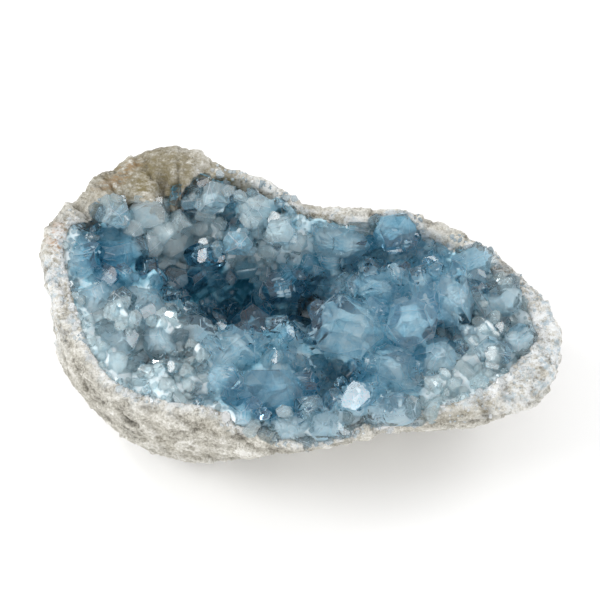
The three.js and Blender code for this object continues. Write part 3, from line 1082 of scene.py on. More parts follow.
# Crystals whose flat ends catch the light, and whose white is partly a painted highlight: x and y of
# the tip, and width
BRIGHT_CRYSTALS = (
    (-45.0, 32.0, 7.5),
    (-39.0, 27.0, 5.0),
    (-12.0, 37.0, 9.0),
    (-96.0, 27.0, 5.0),
    (-65.0, -29.0, 7.0),
    (-57.0, -37.0, 5.5),
    (-77.0, -20.0, 5.0),
    (83.0, -28.0, 8.0),
    (24.0, -49.0, 15.0),
    (62.0, -12.0, 7.0),
    (4.0, -52.0, 5.0),
    (-103.0, 2.0, 5.0),
)
# The direction that such an end faces
BRIGHT_AXIS = Vector((-0.44, -0.33, 0.84))

# Crystals that hang over the rock at the front: x of the tip, width, and distance from the edge
# of the rock, in widths
FRONT_CRYSTALS = (
    (-22.0, 9.0, 0.7),
    (-15.0, 11.0, 0.45),
    (-7.0, 9.0, 0.8),
    (-1.0, 11.0, 0.4),
    (8.0, 13.0, 0.5),
    (16.0, 10.0, 0.4),
    (23.0, 13.0, 0.5),
    (32.0, 12.0, 0.4),
    (40.0, 13.0, 0.45),
    (48.0, 10.0, 0.45),
    (56.0, 9.0, 0.5),
)
# The direction in which they point
FRONT_AXIS = Vector((0.0, -0.35, 1.0))
# Height above which the rock at the front counts as its rim, where the search for it starts,
# and its steps, in mm
FRONT_RIM_HEIGHT = 46.0
FRONT_START = -80.0
FRONT_STEP = 0.5
# Where the crystals are cloudy whatever their size
MILKY_ZONE = Patch(-42.0, 36.0, 52.0, 13.0, -3.0, 1.0)


@dataclass(frozen=True)
class Field:
    """One size class of crystals.

    Attributes:
        spacing: Least distance between neighbours, in mm.
        sizes: Least and greatest width.
        stand: Least and greatest height out of the mass, in widths.
        channel: Picks their numbers.
        edge: Width of worn edges.
        clear_share: Share of a large crystal's width that stays clear of them.
        sway: How far they lean at random.
        rim_reach: They grow only about this near the rock, or everywhere if 0.
        count_share: Share of the places that are planted.
    """

    spacing: float
    sizes: tuple[float, float]
    stand: tuple[float, float]
    channel: int
    edge: float
    clear_share: float
    sway: float
    rim_reach: float = 0.0
    count_share: float = 1.0


@dataclass
class CelestiteCrystals:
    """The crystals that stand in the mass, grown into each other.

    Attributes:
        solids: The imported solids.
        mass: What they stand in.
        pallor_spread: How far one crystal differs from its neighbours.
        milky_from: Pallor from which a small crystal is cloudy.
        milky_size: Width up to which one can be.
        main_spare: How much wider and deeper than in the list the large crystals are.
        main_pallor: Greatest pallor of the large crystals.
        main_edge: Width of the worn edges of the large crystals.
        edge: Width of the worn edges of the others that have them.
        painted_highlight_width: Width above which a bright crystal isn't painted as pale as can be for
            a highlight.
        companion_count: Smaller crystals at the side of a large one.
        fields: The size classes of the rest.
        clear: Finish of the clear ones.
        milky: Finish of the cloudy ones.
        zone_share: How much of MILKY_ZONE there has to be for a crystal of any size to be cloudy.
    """

    solids: Solids
    mass: MilkyMass
    pallor_spread: float = 0.4
    milky_from: float = 0.93
    milky_size: float = 11.0
    main_spare: tuple[float, float] = (1.04, 1.08)
    main_pallor: float = 0.85
    main_edge: float = 0.3
    edge: float = 0.25
    painted_highlight_width: float = 10.0
    companion_count: int = 3
    fields: tuple = (
        Field(7.6, (8.0, 15.0), (0.3, 0.7), 2, 0.25, 0.36, 0.8),
        Field(4.8, (4.0, 8.0), (0.4, 0.9), 3, 0.0, 0.42, 1.0),
        Field(2.5, (2.0, 4.6), (0.3, 0.8), 4, 0.0, 0.3, 1.3, 9.0),
        Field(3.2, (1.6, 4.2), (0.5, 1.0), 6, 0.0, 0.5, 1.5, 0.0, 0.25),
    )
    clear: CelestiteFinish = CelestiteFinish()
    milky: CelestiteFinish = CelestiteFinish(
        name="milky_celestite",
        tones=(
            (0.0, (0.38, 0.70, 0.86)),
            (1.0, (0.86, 0.98, 1.0)),
        ),
        roughness=(0.12, 0.24),
        transmission=0.75,
        absorb=(0.52, 0.84, 0.95),
        density=12.0,
        grain=0.02,
    )
    zone_share: float = 0.35

    def __post_init__(self) -> None:
        """Start with no crystals."""
        self.crystals: list[Crystal] = []
        self.axes: list[tuple[Vector, Vector, float]] = []

    def pallor_of(self, point: Vector, seed: int) -> float:
        """Tell how pale a crystal is.

        Args:
            point: Its tip.
            seed: Picks how it differs from its neighbours.

        Returns:
            A pallor from 0 to 1.
        """
        own = self.pallor_spread * (chance(seed, 3) - 0.5)
        return clamped(self.mass.pallor_at(point) + own, MOST_PALLOR)

    def plant_main(self) -> None:
        """Plant the crystals that stand out, each with a few smaller ones along its side."""
        habits = (Habit.TABLE, Habit.TABLE, Habit.ROOF)
        for index, row in enumerate(MAIN_CRYSTALS):
            x, y, z, lean_x, lean_y, width, depth, length, turn, end_share = row
            tip = Vector((x, y, z)) + CRYSTAL_SHIFT
            axis = Vector((lean_x, lean_y, 1.0)).normalized()
            habit = habits[index % 3] if end_share > 0.5 else Habit.POINT
            self.axes.append((tip, axis, width))
            self.crystals.append(Crystal(
                tip=tip,
                axis=axis,
                width=self.main_spare[0] * width,
                depth=self.main_spare[1] * depth,
                length=min(length, self.solids.root_room(tip, axis, width)),
                turn=math.radians(turn),
                end_share=end_share,
                habit=habit,
                pallor=min(self.main_pallor, self.pallor_of(tip, index)),
                seed=index,
                edge=self.main_edge,
            ))
            self.plant_companions(index, self.crystals[-1])

    def plant_companions(self, index: int, host: Crystal) -> None:
        """Plant smaller crystals that grow parallel to a large one.

        Args:
            index: The large crystal's number.
            host: The large crystal.
        """
        swing = swing_of(host.axis, host.turn)
        for number in range(self.companion_count):
            seed = COMPANION_SEED + index * 10 + number
            heading = 2.0 * math.pi * chance(seed, 1)
            aside = Vector((host.width * math.cos(heading), host.depth * math.sin(heading), 0.0))
            aside *= picked(0.34, 0.52, seed, 2)
            drop = picked(0.14, 0.4, seed, 4) * host.length
            size = picked(0.32, 0.58, seed, 5)
            tip = host.tip + swing @ (aside - drop * UP)
            room = self.solids.root_room(tip, host.axis, size * host.width)
            own = 0.25 * (chance(seed, 7) - 0.5)
            self.crystals.append(Crystal(
                tip=tip,
                axis=host.axis,
                width=size * host.width,
                depth=size * host.depth,
                length=min(0.7 * host.length, room),
                turn=host.turn,
                end_share=0.6,
                habit=Habit.TABLE if chance(seed, 6) > 0.5 else Habit.ROOF,
                pallor=clamped(host.pallor + own, MOST_PALLOR),
                seed=seed,
                edge=self.edge,
            ))

    def plant_bright(self) -> None:
        """Plant the bright crystals on the mass, the small ones painted as pale as can be as
        highlights.
        """
        for number, (x, y, width) in enumerate(BRIGHT_CRYSTALS):
            top = self.solids.crust_top(x, y)
            lean = Vector((chance(number, 96) - 0.5, chance(number, 97) - 0.5, 0.0)) * 0.04
            axis = (BRIGHT_AXIS + lean).normalized()
            self.crystals.append(Crystal(
                tip=top + 0.25 * width * axis,
                axis=axis,
                width=width,
                depth=0.8 * width,
                length=1.3 * width,
                turn=2.4 * chance(number, 95),
                end_share=0.55,
                habit=Habit.FLAT,
                # Painted highlight: a small bright crystal is as pale as can be.
                pallor=0.7 if width > self.painted_highlight_width else MOST_PALLOR,
                seed=BRIGHT_SEED + number,
                edge=self.edge,
            ))

    def plant_front(self) -> None:
        """Plant the crystals that hang over the rock at the front."""
        habits = (Habit.TABLE, Habit.ROOF)
        for number, (x, width, inward) in enumerate(FRONT_CRYSTALS):
            y = FRONT_START
            while self.solids.top_at(x, y).z < FRONT_RIM_HEIGHT:
                y += FRONT_STEP
            top = self.solids.top_at(x, y + inward * width)
            lean = Vector((chance(number, 86) - 0.5, chance(number, 87) - 0.5, 0.0)) * 0.7
            axis = (FRONT_AXIS + lean).normalized()
            self.crystals.append(Crystal(
                tip=top + 0.3 * width * axis,
                axis=axis,
                width=width,
                depth=picked(0.65, 0.95, number, 84) * width,
                length=0.95 * width,
                turn=3.1 * chance(number, 85),
                end_share=picked(0.4, 0.8, number, 83),
                habit=habits[number % 2],
                pallor=picked(0.8, 0.99, number, 82),
                seed=FRONT_SEED + number,
                edge=self.edge,
            ))

    def on_main(self, point: Vector, share: float) -> bool:
        """Tell whether a point is within a share of the width of a crystal that stands out."""
        for tip, axis, width in self.axes:
            away = point - tip
            along = away.dot(axis)
            if -1.5 * width < along < 4.0 and (away - axis * along).length < share * width:
                return True
        return False

    def plant_field(self, kind: Field) -> None:
        """Plant crystals of one size class all over the mass."""
        habits = (Habit.POINT, Habit.ROOF, Habit.TABLE, Habit.CLEAVED)
        for number in spread(self.mass.places, kind.spacing, kind.channel):
            point, normal = self.mass.places[number]
            seed = FIELD_SEED * kind.channel + number
            if chance(seed, 19) > kind.count_share or self.on_main(point, kind.clear_share):
                continue
            gap = self.solids.to_rock(point)
            if any(pit.at(point) > 0.3 for pit in PITS) or gap < 0.6 * earth_reach(point):
                continue
            if kind.sizes[0] < 5.0 and self.mass.pallor_at(point) < 0.5 * chance(seed, 8):
                continue
            if kind.rim_reach and gap > kind.rim_reach * picked(0.4, 1.3, seed, 10):
                continue
            lean = Vector((chance(seed, 11) - 0.5, chance(seed, 12) - 0.6, 0.0)) * kind.sway
            axis = (normal * 0.9 + UP * 0.5 + lean).normalized()
            near_rim = smooth_step(1.0, 14.0, gap)
            width = between(*kind.sizes, chance(seed, 13) ** 1.5) * between(0.55, 1.0, near_rim)
            out = width * between(*kind.stand, chance(seed, 14))
            tip = point + axis * out
            self.crystals.append(Crystal(
                tip=tip,
                axis=axis,
                width=width,
                depth=width * picked(0.65, 1.0, seed, 16),
                length=min(out + width * 0.6, self.solids.root_room(tip, axis, width)),
                turn=math.pi * chance(seed, 17),
                end_share=picked(0.3, 0.7, seed, 18),
                habit=habits[int(4 * chance(seed, 15))],
                pallor=self.pallor_of(tip, seed),
                seed=seed,
                edge=kind.edge,
            ))

    def unite(self, crystals: list[Crystal]) -> bpy.types.Mesh:
        """Grow crystals and join them where they meet.

        Args:
            crystals: The crystals.

        Returns:
            A closed mesh in metres whose material indices still carry pallor.
        """
        batch = bpy.data.collections.new("crystals to unite")
        carriers = [bpy.data.materials.new("carrier") for _ in range(2 * PALLOR_LEVELS)]
        grown = [crystal.grow() for crystal in crystals]
        for mesh in grown:
            for carrier in carriers:
                mesh.materials.append(carrier)
        for mesh in grown[1:]:
            batch.objects.link(bpy.data.objects.new("crystal", mesh))
        bpy.context.scene.collection.children.link(batch)
        body = link_piece("crystals being united", grown[0])
        join = body.modifiers.new("join", "BOOLEAN")
        join.operation = "UNION"
        join.operand_type = "COLLECTION"
        join.collection = batch
        join.solver = "MANIFOLD"
        join.material_mode = "TRANSFER"
        mesh = evaluated_mesh(body)
        mesh.validate()
        bpy.data.objects.remove(body)
        for thing in list(batch.objects):
            bpy.data.objects.remove(thing)
        bpy.data.collections.remove(batch)
        return mesh

    def finish_piece(self, name: str, crystals: list[Crystal], finish: CelestiteFinish) -> None:
        """Unite some crystals and dress them as one piece.

        Args:
            name: The piece's name.
            crystals: Its crystals.
            finish: Its finish.
        """
        mesh = self.unite(crystals)
        mesh.attributes.new("pallor", "FLOAT", "FACE")
        mesh.attributes.new("edge", "FLOAT", "FACE")
        pallor = mesh.attributes["pallor"].data
        edge = mesh.attributes["edge"].data
        for face in mesh.polygons:
            carried = face.material_index
            pallor[face.index].value = (carried % PALLOR_LEVELS + 0.5) / PALLOR_LEVELS
            edge[face.index].value = 1.0 if carried >= PALLOR_LEVELS else 0.0
            face.use_smooth = False
            face.material_index = 0
        mesh.materials.clear()
        mesh.materials.append(finish.material())
        piece = link_piece(name, mesh)
        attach(piece, "root")
        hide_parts("celestite_crust")
        LOG.info("%s: %d crystals, %d faces", name, len(crystals), len(mesh.polygons))

    def build(self) -> None:
        """Plant all the crystals and build their two pieces."""
        self.plant_main()
        self.plant_bright()
        self.plant_front()
        for kind in self.fields:
            self.plant_field(kind)
        clear = []
        milky = []
        for crystal in self.crystals:
            cloudy = crystal.pallor >= self.milky_from and crystal.width < self.milky_size
            cloudy = cloudy or MILKY_ZONE.at(crystal.tip.x, crystal.tip.y) > self.zone_share
            (milky if cloudy else clear).append(crystal)
        self.finish_piece("clear_crystals", clear, self.clear)
        self.finish_piece("milky_crystals", milky, self.milky)


def spread(places: list[tuple[Vector, Vector]], spacing: float, channel: int) -> list[int]:
    """Pick places that keep their distance from each other.

    Args:
        places: Points and outward directions.
        spacing: Least distance, in mm.
        channel: Picks the order in which places are tried.

    Returns:
        The numbers of the places picked.
    """
    taken: dict[tuple[int, int, int], list[Vector]] = {}
    kept = []
    for number in sorted(range(len(places)), key=lambda each: chance(each, channel)):
        point = places[number][0]
        cell = tuple(int(math.floor(value / spacing)) for value in point)
        near = (
            other
            for i in (-1, 0, 1) for j in (-1, 0, 1) for k in (-1, 0, 1)
            for other in taken.get((cell[0] + i, cell[1] + j, cell[2] + k), ())
        )
        if any((other - point).length < spacing for other in near):
            continue
        taken.setdefault(cell, []).append(point)
        kept.append(number)
    return kept


@dataclass(frozen=True)
class Placing:
    """One copy of a small shape.

    Attributes:
        shape: The shape's number.
        place: The matrix that puts it in its place.
        values: The values that its finish reads.
    """

    shape: int
    place: Matrix
    values: dict[str, float]


def scattered(name: str, shapes: list[bpy.types.Mesh], placings: list[Placing]) -> bpy.types.Mesh:
    """Join many copies of a few small shapes in one mesh.

    Args:
        name: The mesh's name.
        shapes: The shapes.
        placings: Where their copies go.

    Returns:
        The joined mesh, with its values as attributes.
    """
    corners = []
    faces = []
    for placing in placings:
        shape = shapes[placing.shape]
        first = len(corners)
        corners.extend(placing.place @ vertex.co for vertex in shape.vertices)
        faces.extend([first + corner for corner in face.vertices] for face in shape.polygons)
    mesh = bpy.data.meshes.new(name)
    mesh.from_pydata(corners, [], faces)
    for value in placings[0].values:
        row = [
            placing.values[value] for placing in placings for _ in shapes[placing.shape].polygons
        ]
        mesh.attributes.new(value, "FLOAT", "FACE").data.foreach_set("value", row)
    return mesh


@dataclass
class Veils:
    """White flakes inside the large crystals, along their cleavage.

    Attributes:
        crystals: The crystals that hold them.
        count: How many each large crystal holds.
        sizes: Least and greatest length in a crystal as wide as host_width.
        host_width: Width of a crystal for which the sizes hold, in mm.
        least_host: Width from which a crystal holds flakes, in mm.
        full_host: Width from which it holds them all, in mm.
        shape_count: How many different flakes there are.
    """

    crystals: CelestiteCrystals
    count: int = 9
    sizes: tuple[float, float] = (1.5, 6.0)
    host_width: float = 16.0
    least_host: float = 7.0
    full_host: float = 18.0
    shape_count: int = 6

    def flake(self, seed: int) -> bpy.types.Mesh:
        """Make one thin uneven plate, 1 m across, for scaling."""
        sides = 7
        form = bmesh.new()
        bmesh.ops.create_cone(
            form, segments=sides, radius1=0.5, radius2=0.44, depth=0.05, cap_ends=True, cap_tris=False,
        )
        for vertex in form.verts:
            heading = round(math.atan2(vertex.co.y, vertex.co.x) / (2.0 * math.pi) * sides)
            spare = picked(0.55, 1.15, seed, heading + 10)
            vertex.co.x *= spare
            vertex.co.y *= 0.6 * spare
        mesh = bpy.data.meshes.new("flake")
        form.to_mesh(mesh)
        form.free()
        return mesh

    def material(self) -> bpy.types.Material:
        """Make the flakes' white, dusty finish."""
        bench = Bench("white_veil")
        dust = bench.noise(700.0, 4.0, 0.7)
        tones = (
            (0.35, (0.62, 0.78, 0.86)),
            (0.65, (0.97, 0.99, 1.0)),
        )
        bench.connect(bench.ramp(dust, tones), "Base Color")
        bench.body.inputs["Roughness"].default_value = 0.35
        bench.bump(dust, 0.4, 0.1)
        return bench.material

    def build(self) -> None:
        """Place the flakes as one piece."""
        flakes = [self.flake(FLAKE_SEED + number) for number in range(self.shape_count)]
        tips = (0.0, 90.0, 60.0)
        placings = []
        for host in self.crystals.crystals:
            if host.width < self.least_host:
                continue
            swing = swing_of(host.axis, host.turn)
            count = int(self.count * min(1.0, host.width / self.full_host))
            for number in range(count):
                seed = VEIL_SEED + host.seed * 20 + number
                heading = 2.0 * math.pi * chance(seed, 1)
                low = picked(0.24, 0.6, seed, 3)
                out = 0.55 * low * math.sqrt(chance(seed, 2))
                inside = Vector((
                    host.width * out * math.cos(heading),
                    host.depth * out * math.sin(heading),
                    -low * host.width,
                ))
                size = between(*self.sizes, chance(seed, 4) ** 2) * host.width / self.host_width
                tip_angle = math.radians(tips[number % 3] + 25.0 * chance(seed, 5))
                spin_angle = math.radians(76.0 * int(3 * chance(seed, 6)) + 20.0 * chance(seed, 7))
                spin = Quaternion(UP, spin_angle) @ Quaternion(Vector((1.0, 0.0, 0.0)), tip_angle)
                place = placed(host.tip + swing @ inside, swing @ spin, size)
                placings.append(Placing(seed % self.shape_count, place, {}))
        mesh = scattered("inner_veils", flakes, placings)
        mesh.materials.append(self.material())
        piece = link_piece("inner_veils", mesh)
        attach(piece, "root")
        LOG.info("inner_veils: %d flakes, %d faces", len(placings), len(mesh.polygons))


@dataclass(frozen=True)
class RockFinish:
    """Pale granular limestone with dark grey specks of painted shade for its pits, white scale and
    brown and rusty stains.

    Attributes:
        name: The material's name.
        body: Ramp stops of its grain, and of the painted shade that darkens its low places.
        pit: Colour of the painted shade in its pits.
        scale: Colour of the white scale near the crystals.
        blue: Colour of crystal specks in the scale.
        brown: Colour of its brown stains.
        rust: Colour of its rusty stains.
    """

    name: str = "limestone"
    body: tuple = (
        (0.0, (0.09, 0.085, 0.07)),
        (0.25, (0.26, 0.245, 0.21)),
        (0.5, (0.46, 0.44, 0.38)),
        (0.75, (0.66, 0.64, 0.58)),
        (1.0, (0.84, 0.83, 0.79)),
    )
    pit: tuple = (0.10, 0.09, 0.07)
    scale: tuple = (0.88, 0.91, 0.93)
    blue: tuple = (0.36, 0.48, 0.56)
    brown: tuple = (0.21, 0.175, 0.09)
    rust: tuple = (0.55, 0.26, 0.11)

    def material(self) -> bpy.types.Material:
        """Make the material."""
        bench = Bench(self.name)
        streaks = bench.turned((0.0, 35.0, 40.0), (0.4, 1.0, 0.9))
        broad = bench.mapped(bench.noise(60.0, 5.0, 0.6), (0.3, 0.7), (-0.16, 0.16))
        streak = bench.mapped(bench.noise(260.0, 5.0, 0.65, streaks), (0.3, 0.7), (-0.2, 0.2))
        grit = bench.mapped(bench.noise(800.0, 5.0, 0.8), (0.25, 0.75), (-0.55, 0.55))
        # Painted shade: the lower places of the relief are darker.
        tone = bench.combined("ADD", bench.attribute("height"), broad)
        tone = bench.combined("ADD", tone, streak)
        tone = bench.combined("ADD", tone, grit)
        colour = bench.ramp(tone, self.body)
        rough = bench.noise(420.0, 6.0, 0.75, streaks)
        colour = bench.over(bench.combined(
            "MULTIPLY", bench.attribute("brown"), bench.mapped(rough, (0.34, 0.58)),
        ), colour, self.brown)
        colour = bench.over(bench.combined(
            "MULTIPLY", bench.attribute("rust"), bench.mapped(rough, (0.44, 0.6)),
        ), colour, self.rust)
        tint = bench.mapped(bench.noise(34.0, 3.0, 0.5), (0.5, 0.72), (0.0, 0.4))
        colour = bench.over(bench.combined("MULTIPLY", tint, rough), colour, self.brown)
        flake = bench.noise(260.0, 7.0, 0.75, bench.turned((20.0, 50.0, 10.0), (1.0, 1.3, 0.8)))
        colour = bench.over(bench.combined(
            "MULTIPLY", bench.attribute("scale"), bench.mapped(flake, (0.43, 0.56), (0.0, 0.85)),
        ), colour, self.scale)
        speck = bench.noise(150.0, 8.0, 0.75)
        colour = bench.over(bench.combined(
            "MULTIPLY", bench.attribute("scale"), bench.mapped(speck, (0.52, 0.62), (0.0, 0.8)),
        ), colour, self.blue)
        # Painted shade: dark specks stand for the shade in small pits.
        pit_shade_specks = bench.noise(620.0, 4.0, 0.7)
        colour = bench.over(bench.mapped(pit_shade_specks, (0.62, 0.70), (0.0, 0.75)), colour, self.pit)
        bench.connect(colour, "Base Color")
        bench.body.inputs["Roughness"].default_value = 0.9
        bench.bump(bench.noise(560.0, 6.0, 0.8), 0.9, 0.8)
        return bench.material


# Where the rock is brown, where it is rusty, and where white scale lies on it
BROWN_PATCHES = (
    Patch(-62.0, 56.0, 36.0, 18.0, -10.0, 0.9),
    Patch(-86.0, 48.0, 18.0, 12.0, 30.0, 0.6),
    Patch(-30.0, 51.0, 16.0, 7.0, -30.0, 0.8),
    Patch(73.0, -50.0, 20.0, 6.0, 8.0, 0.55),
    Patch(10.0, 36.0, 26.0, 8.0, -20.0, 0.5),
)
RUST_PATCHES = (
    Patch(-109.0, 23.0, 6.0, 8.0, 0.0, 0.9),
    Patch(-84.0, 56.0, 16.0, 4.0, 40.0, 0.3),
)
SCALE_PATCHES = (
    Patch(96.0, -34.0, 34.0, 26.0, 30.0, 1.0),
    Patch(106.0, 0.0, 14.0, 40.0, 15.0, 0.8),
    Patch(-108.0, 4.0, 14.0, 30.0, 0.0, 0.8),
    Patch(-92.0, 46.0, 22.0, 10.0, 40.0, 0.6),
    Patch(20.0, 36.0, 50.0, 7.0, 0.0, 0.6),
)


@dataclass
class RockRind:
    """The rough rock round the crust.

    Attributes:
        solids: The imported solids.
        voxel: Size of the mesh's cells, in mm.
        rounds: How often it is smoothed.
        broad_height: Height of its broad lumps, in mm.
        settle: How much lower than its solid it is in the mean, in mm.
        facet_slope: How steep its break faces are.
        embrace: How far its inside reaches into the crust's back, in mm.
        contact: Distance from the crust within which it stays plain.
        finish: What it is made of.
    """

    solids: Solids
    voxel: float = 1.2
    rounds: int = 3
    broad_height: float = 1.1
    settle: float = 0.1
    facet_slope: float = 0.17
    embrace: float = 0.7
    contact: float = 0.9
    finish: RockFinish = RockFinish()

    def relief(self, point: Vector) -> tuple[float, float]:
        """Tell how far the rock stands out at a point.

        Args:
            point: The point, in mm.

        Returns:
            A height in mm, and how high it is among its neighbours from 0 to 1, which paints the low
            places darker as shade.
        """
        broad = noise.fractal(point / 17.0, 1.0, 2.0, 3)
        broken = self.facet(point, 10.0) + self.facet(point, 4.0)
        grit = noise.fractal(point / 2.6, 0.8, 2.0, 3)
        fine = broken + 0.45 * grit
        height = self.broad_height * broad + fine - self.settle
        return height, clamped(0.54 + 0.2 * fine + 0.1 * broad)

    def draped(self, point: Vector) -> Vector:
        """Draw the rim of the rock over the crust where its lip reaches far.

        Args:
            point: A point of the rock, in mm.

        Returns:
            Where it goes.
        """
        gap = self.solids.to_crust(point)
        share = 1.0 - smooth_step(0.0, 20.0, gap)
        share *= smooth_step(56.0, 68.0, point.z)
        wide = lip_reach(point)
        if share * wide < 0.1:
            return point
        way = Vector((HOLLOW_MIDDLE[0] - point.x, HOLLOW_MIDDLE[1] - point.y, 0.0)).normalized()
        moved = point + way * share * wide
        probe = point + way * (gap + 1.5 + wide)
        top = self.solids.crust_top(probe.x, probe.y)
        if top is not None:
            moved.z = min(moved.z, between(moved.z, top.z + 0.9, share * min(1.0, wide / 3.0)))
        return moved

    def facet(self, point: Vector, size: float) -> float:
        """Return the height of tilted break faces of about a size at a point, in mm."""
        middle = noise.voronoi(point / size)[1][0]
        tilt = noise.cell_vector(middle * 7.3)
        return self.facet_slope * size * (point / size - middle).dot(tilt)

    def build(self) -> None:
        """Build the rock and put it in place of its solid."""
        piece, form = celled("rock_surface", self.solids.rock_mesh, self.voxel, self.rounds)
        relief_shades = []
        gaps = []
        moves = []
        for vertex in form.verts:
            point = vertex.co / MM
            gap = self.solids.to_crust(point)
            free = smooth_step(self.contact, self.contact + 5.0, gap)
            foot = smooth_step(0.0, 5.0, point.z)
            rise, high = self.relief(point)
            rise += sum(knob.at(point) for knob in KNOBS)
            relief_shades.append(high)
            gaps.append(gap)
            lip = self.draped(point) - point
            drawn = min(1.0, lip.length / 3.0)
            raised = max(free * foot, 0.7 * drawn) * rise
            raised += (1.0 - free) * (1.0 - drawn) * self.embrace
            moves.append((vertex.normal * raised + lip) * MM)
        for vertex, move in zip(form.verts, moves):
            vertex.co += move
            vertex.co.z = max(0.0, vertex.co.z)
        form.normal_update()
        self.places = [
            (vertex.co / MM, vertex.normal.copy()) for vertex, gap in zip(form.verts, gaps)
            if vertex.normal.z > 0.75 and 0.3 < gap < 20.0
        ]
        mesh = piece.data
        form.to_mesh(mesh)
        form.free()
        self.stain(mesh, relief_shades, gaps)
        self.material = self.finish.material()
        mesh.materials.clear()
        mesh.materials.append(self.material)
        for face in mesh.polygons:
            face.use_smooth = True
        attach(piece, "root")
        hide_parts("rock_rind")
        LOG.info("rock_surface: %d faces", len(mesh.polygons))

    def stain(self, mesh: bpy.types.Mesh, relief_shades: list[float], gaps: list[float]) -> None:
        """Write where the rock is high, for the painted shade that darkens its low places, and where it
        is scaly, brown and rusty.

        Args:
            mesh: The rock's mesh.
            relief_shades: How high each corner is among its neighbours, for the painted shade.
            gaps: Each corner's distance from the crust.
        """
        values = {
            name: mesh.attributes.new(name, "FLOAT", "POINT").data
            for name in ("height", "scale", "brown", "rust")
        }
        for vertex in mesh.vertices:
            number = vertex.index
            point = vertex.co / MM
            up = smooth_step(45.0, 60.0, point.z)
            scale = 0.9 * (1.0 - smooth_step(1.0, 6.0, gaps[number]))
            scale += up * total(SCALE_PATCHES, point)
            brown = up * total(BROWN_PATCHES, point)
            rust = up * total(RUST_PATCHES, point)
            values["height"][number].value = relief_shades[number]
            earthy = min(1.0, max(brown, 0.3 * lip_reach(point)))
            values["scale"][number].value = min(1.0, scale) * (1.0 - 0.85 * earthy)
            values["brown"][number].value = min(1.0, brown)
            values["rust"][number].value = min(1.0, rust)


# How far the small crystals at the rim spread over the rock, in mm at the middle of each patch
DRUSE_PATCHES = (
    Patch(86.0, -44.0, 36.0, 15.0, 26.0, 11.0),
    Patch(110.0, -8.0, 12.0, 30.0, 8.0, 7.0),
    Patch(78.0, 26.0, 42.0, 16.0, -28.0, 3.0),
    Patch(-104.0, -2.0, 14.0, 30.0, 0.0, 6.0),
    Patch(-94.0, 42.0, 20.0, 14.0, 40.0, 5.0),
    Patch(19.0, -67.0, 46.0, 11.0, 4.0, 5.0),
)
# Where those crystals are bluish and not white
DRUSE_BLUE_PATCHES = (
    Patch(78.0, 26.0, 46.0, 20.0, -28.0, 0.45),
    Patch(112.0, -38.0, 10.0, 10.0, 0.0, 0.5),
    Patch(10.0, 40.0, 50.0, 12.0, -10.0, 0.2),
    Patch(19.0, -67.0, 50.0, 12.0, 4.0, 0.25),
)


@dataclass
class RimDruse:
    """Small whitish crystals on the rock beside the crust.

    Attributes:
        solids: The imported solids.
        rock: What they stand on.
        spacing: Least distance between neighbours, in mm.
        sizes: Least and greatest width.
        strip: Reach of the strip that runs all along the crust.
        lip: Reach of the rock's lip from which none grow.
        shape_count: How many different crystals there are.
        finish: What they are made of.
    """

    solids: Solids
    rock: RockRind
    spacing: float = 1.8
    sizes: tuple[float, float] = (1.8, 5.0)
    strip: float = 3.0
    lip: float = 4.0
    shape_count: int = 16
    finish: CelestiteFinish = CelestiteFinish(
        name="rim_celestite",
        tones=(
            (0.0, (0.45, 0.56, 0.62)),
            (0.5, (0.70, 0.79, 0.83)),
            (1.0, (0.97, 0.98, 0.98)),
        ),
        roughness=(0.1, 0.4),
        transmission=0.5,
        density=0.0,
    )

    def share_at(self, point: Vector, gap: float) -> float:
        """Return the share of the places at a point that are planted, gap mm from the crust."""
        reach = self.strip + total(DRUSE_PATCHES, point)
        reach *= 1.0 + 1.3 * noise.noise(point / 8.0)
        return 1.0 - smooth_step(0.8 * reach, 1.1 * reach, gap)

    def build(self) -> None:
        """Plant the small crystals as one piece."""
        habits = (Habit.POINT, Habit.ROOF, Habit.CLEAVED, Habit.TABLE)
        shapes = [
            Crystal(
                tip=Vector(),
                axis=UP,
                width=1.0 / MM,
                depth=picked(0.6, 1.0, number, 91) / MM,
                length=1.7 / MM,
                turn=0.0,
                end_share=0.5,
                habit=habits[number % 4],
                pallor=0.0,
                seed=DRUSE_SHAPE_SEED + number,
            ).grow()
            for number in range(self.shape_count)
        ]
        placings = []
        for number in spread(self.rock.places, self.spacing, 5):
            point, normal = self.rock.places[number]
            gap = self.solids.to_crust(point)
            seed = DRUSE_SEED + number
            if chance(seed, 1) > self.share_at(point, gap) or earth_reach(point) > self.lip:
                continue
            size = between(*self.sizes, chance(seed, 2) ** 3)
            size *= between(1.1, 0.55, smooth_step(0.0, 8.0, gap))
            lean = Vector((chance(seed, 3) - 0.5, chance(seed, 4) - 0.6, 0.1)) * 1.3
            axis = (normal + UP + lean).normalized()
            tip = point + axis * size * picked(-0.05, 0.3, seed, 6)
            place = placed(tip, swing_of(axis, 2.0 * math.pi * chance(seed, 5)), size)
            blue = total(DRUSE_BLUE_PATCHES, point)
            tone = 0.72 + 0.9 * noise.noise(point / 9.0) + 0.3 * (chance(seed, 7) - 0.5) - blue
            shape = int(self.shape_count * chance(seed, 8))
            placings.append(Placing(shape, place, {"pallor": clamped(tone)}))
        mesh = scattered("rim_druse", shapes, placings)
        mesh.materials.append(self.finish.material())
        piece = link_piece("rim_druse", mesh)
        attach(piece, "root")
        LOG.info("rim_druse: %d crystals, %d faces", len(placings), len(mesh.polygons))


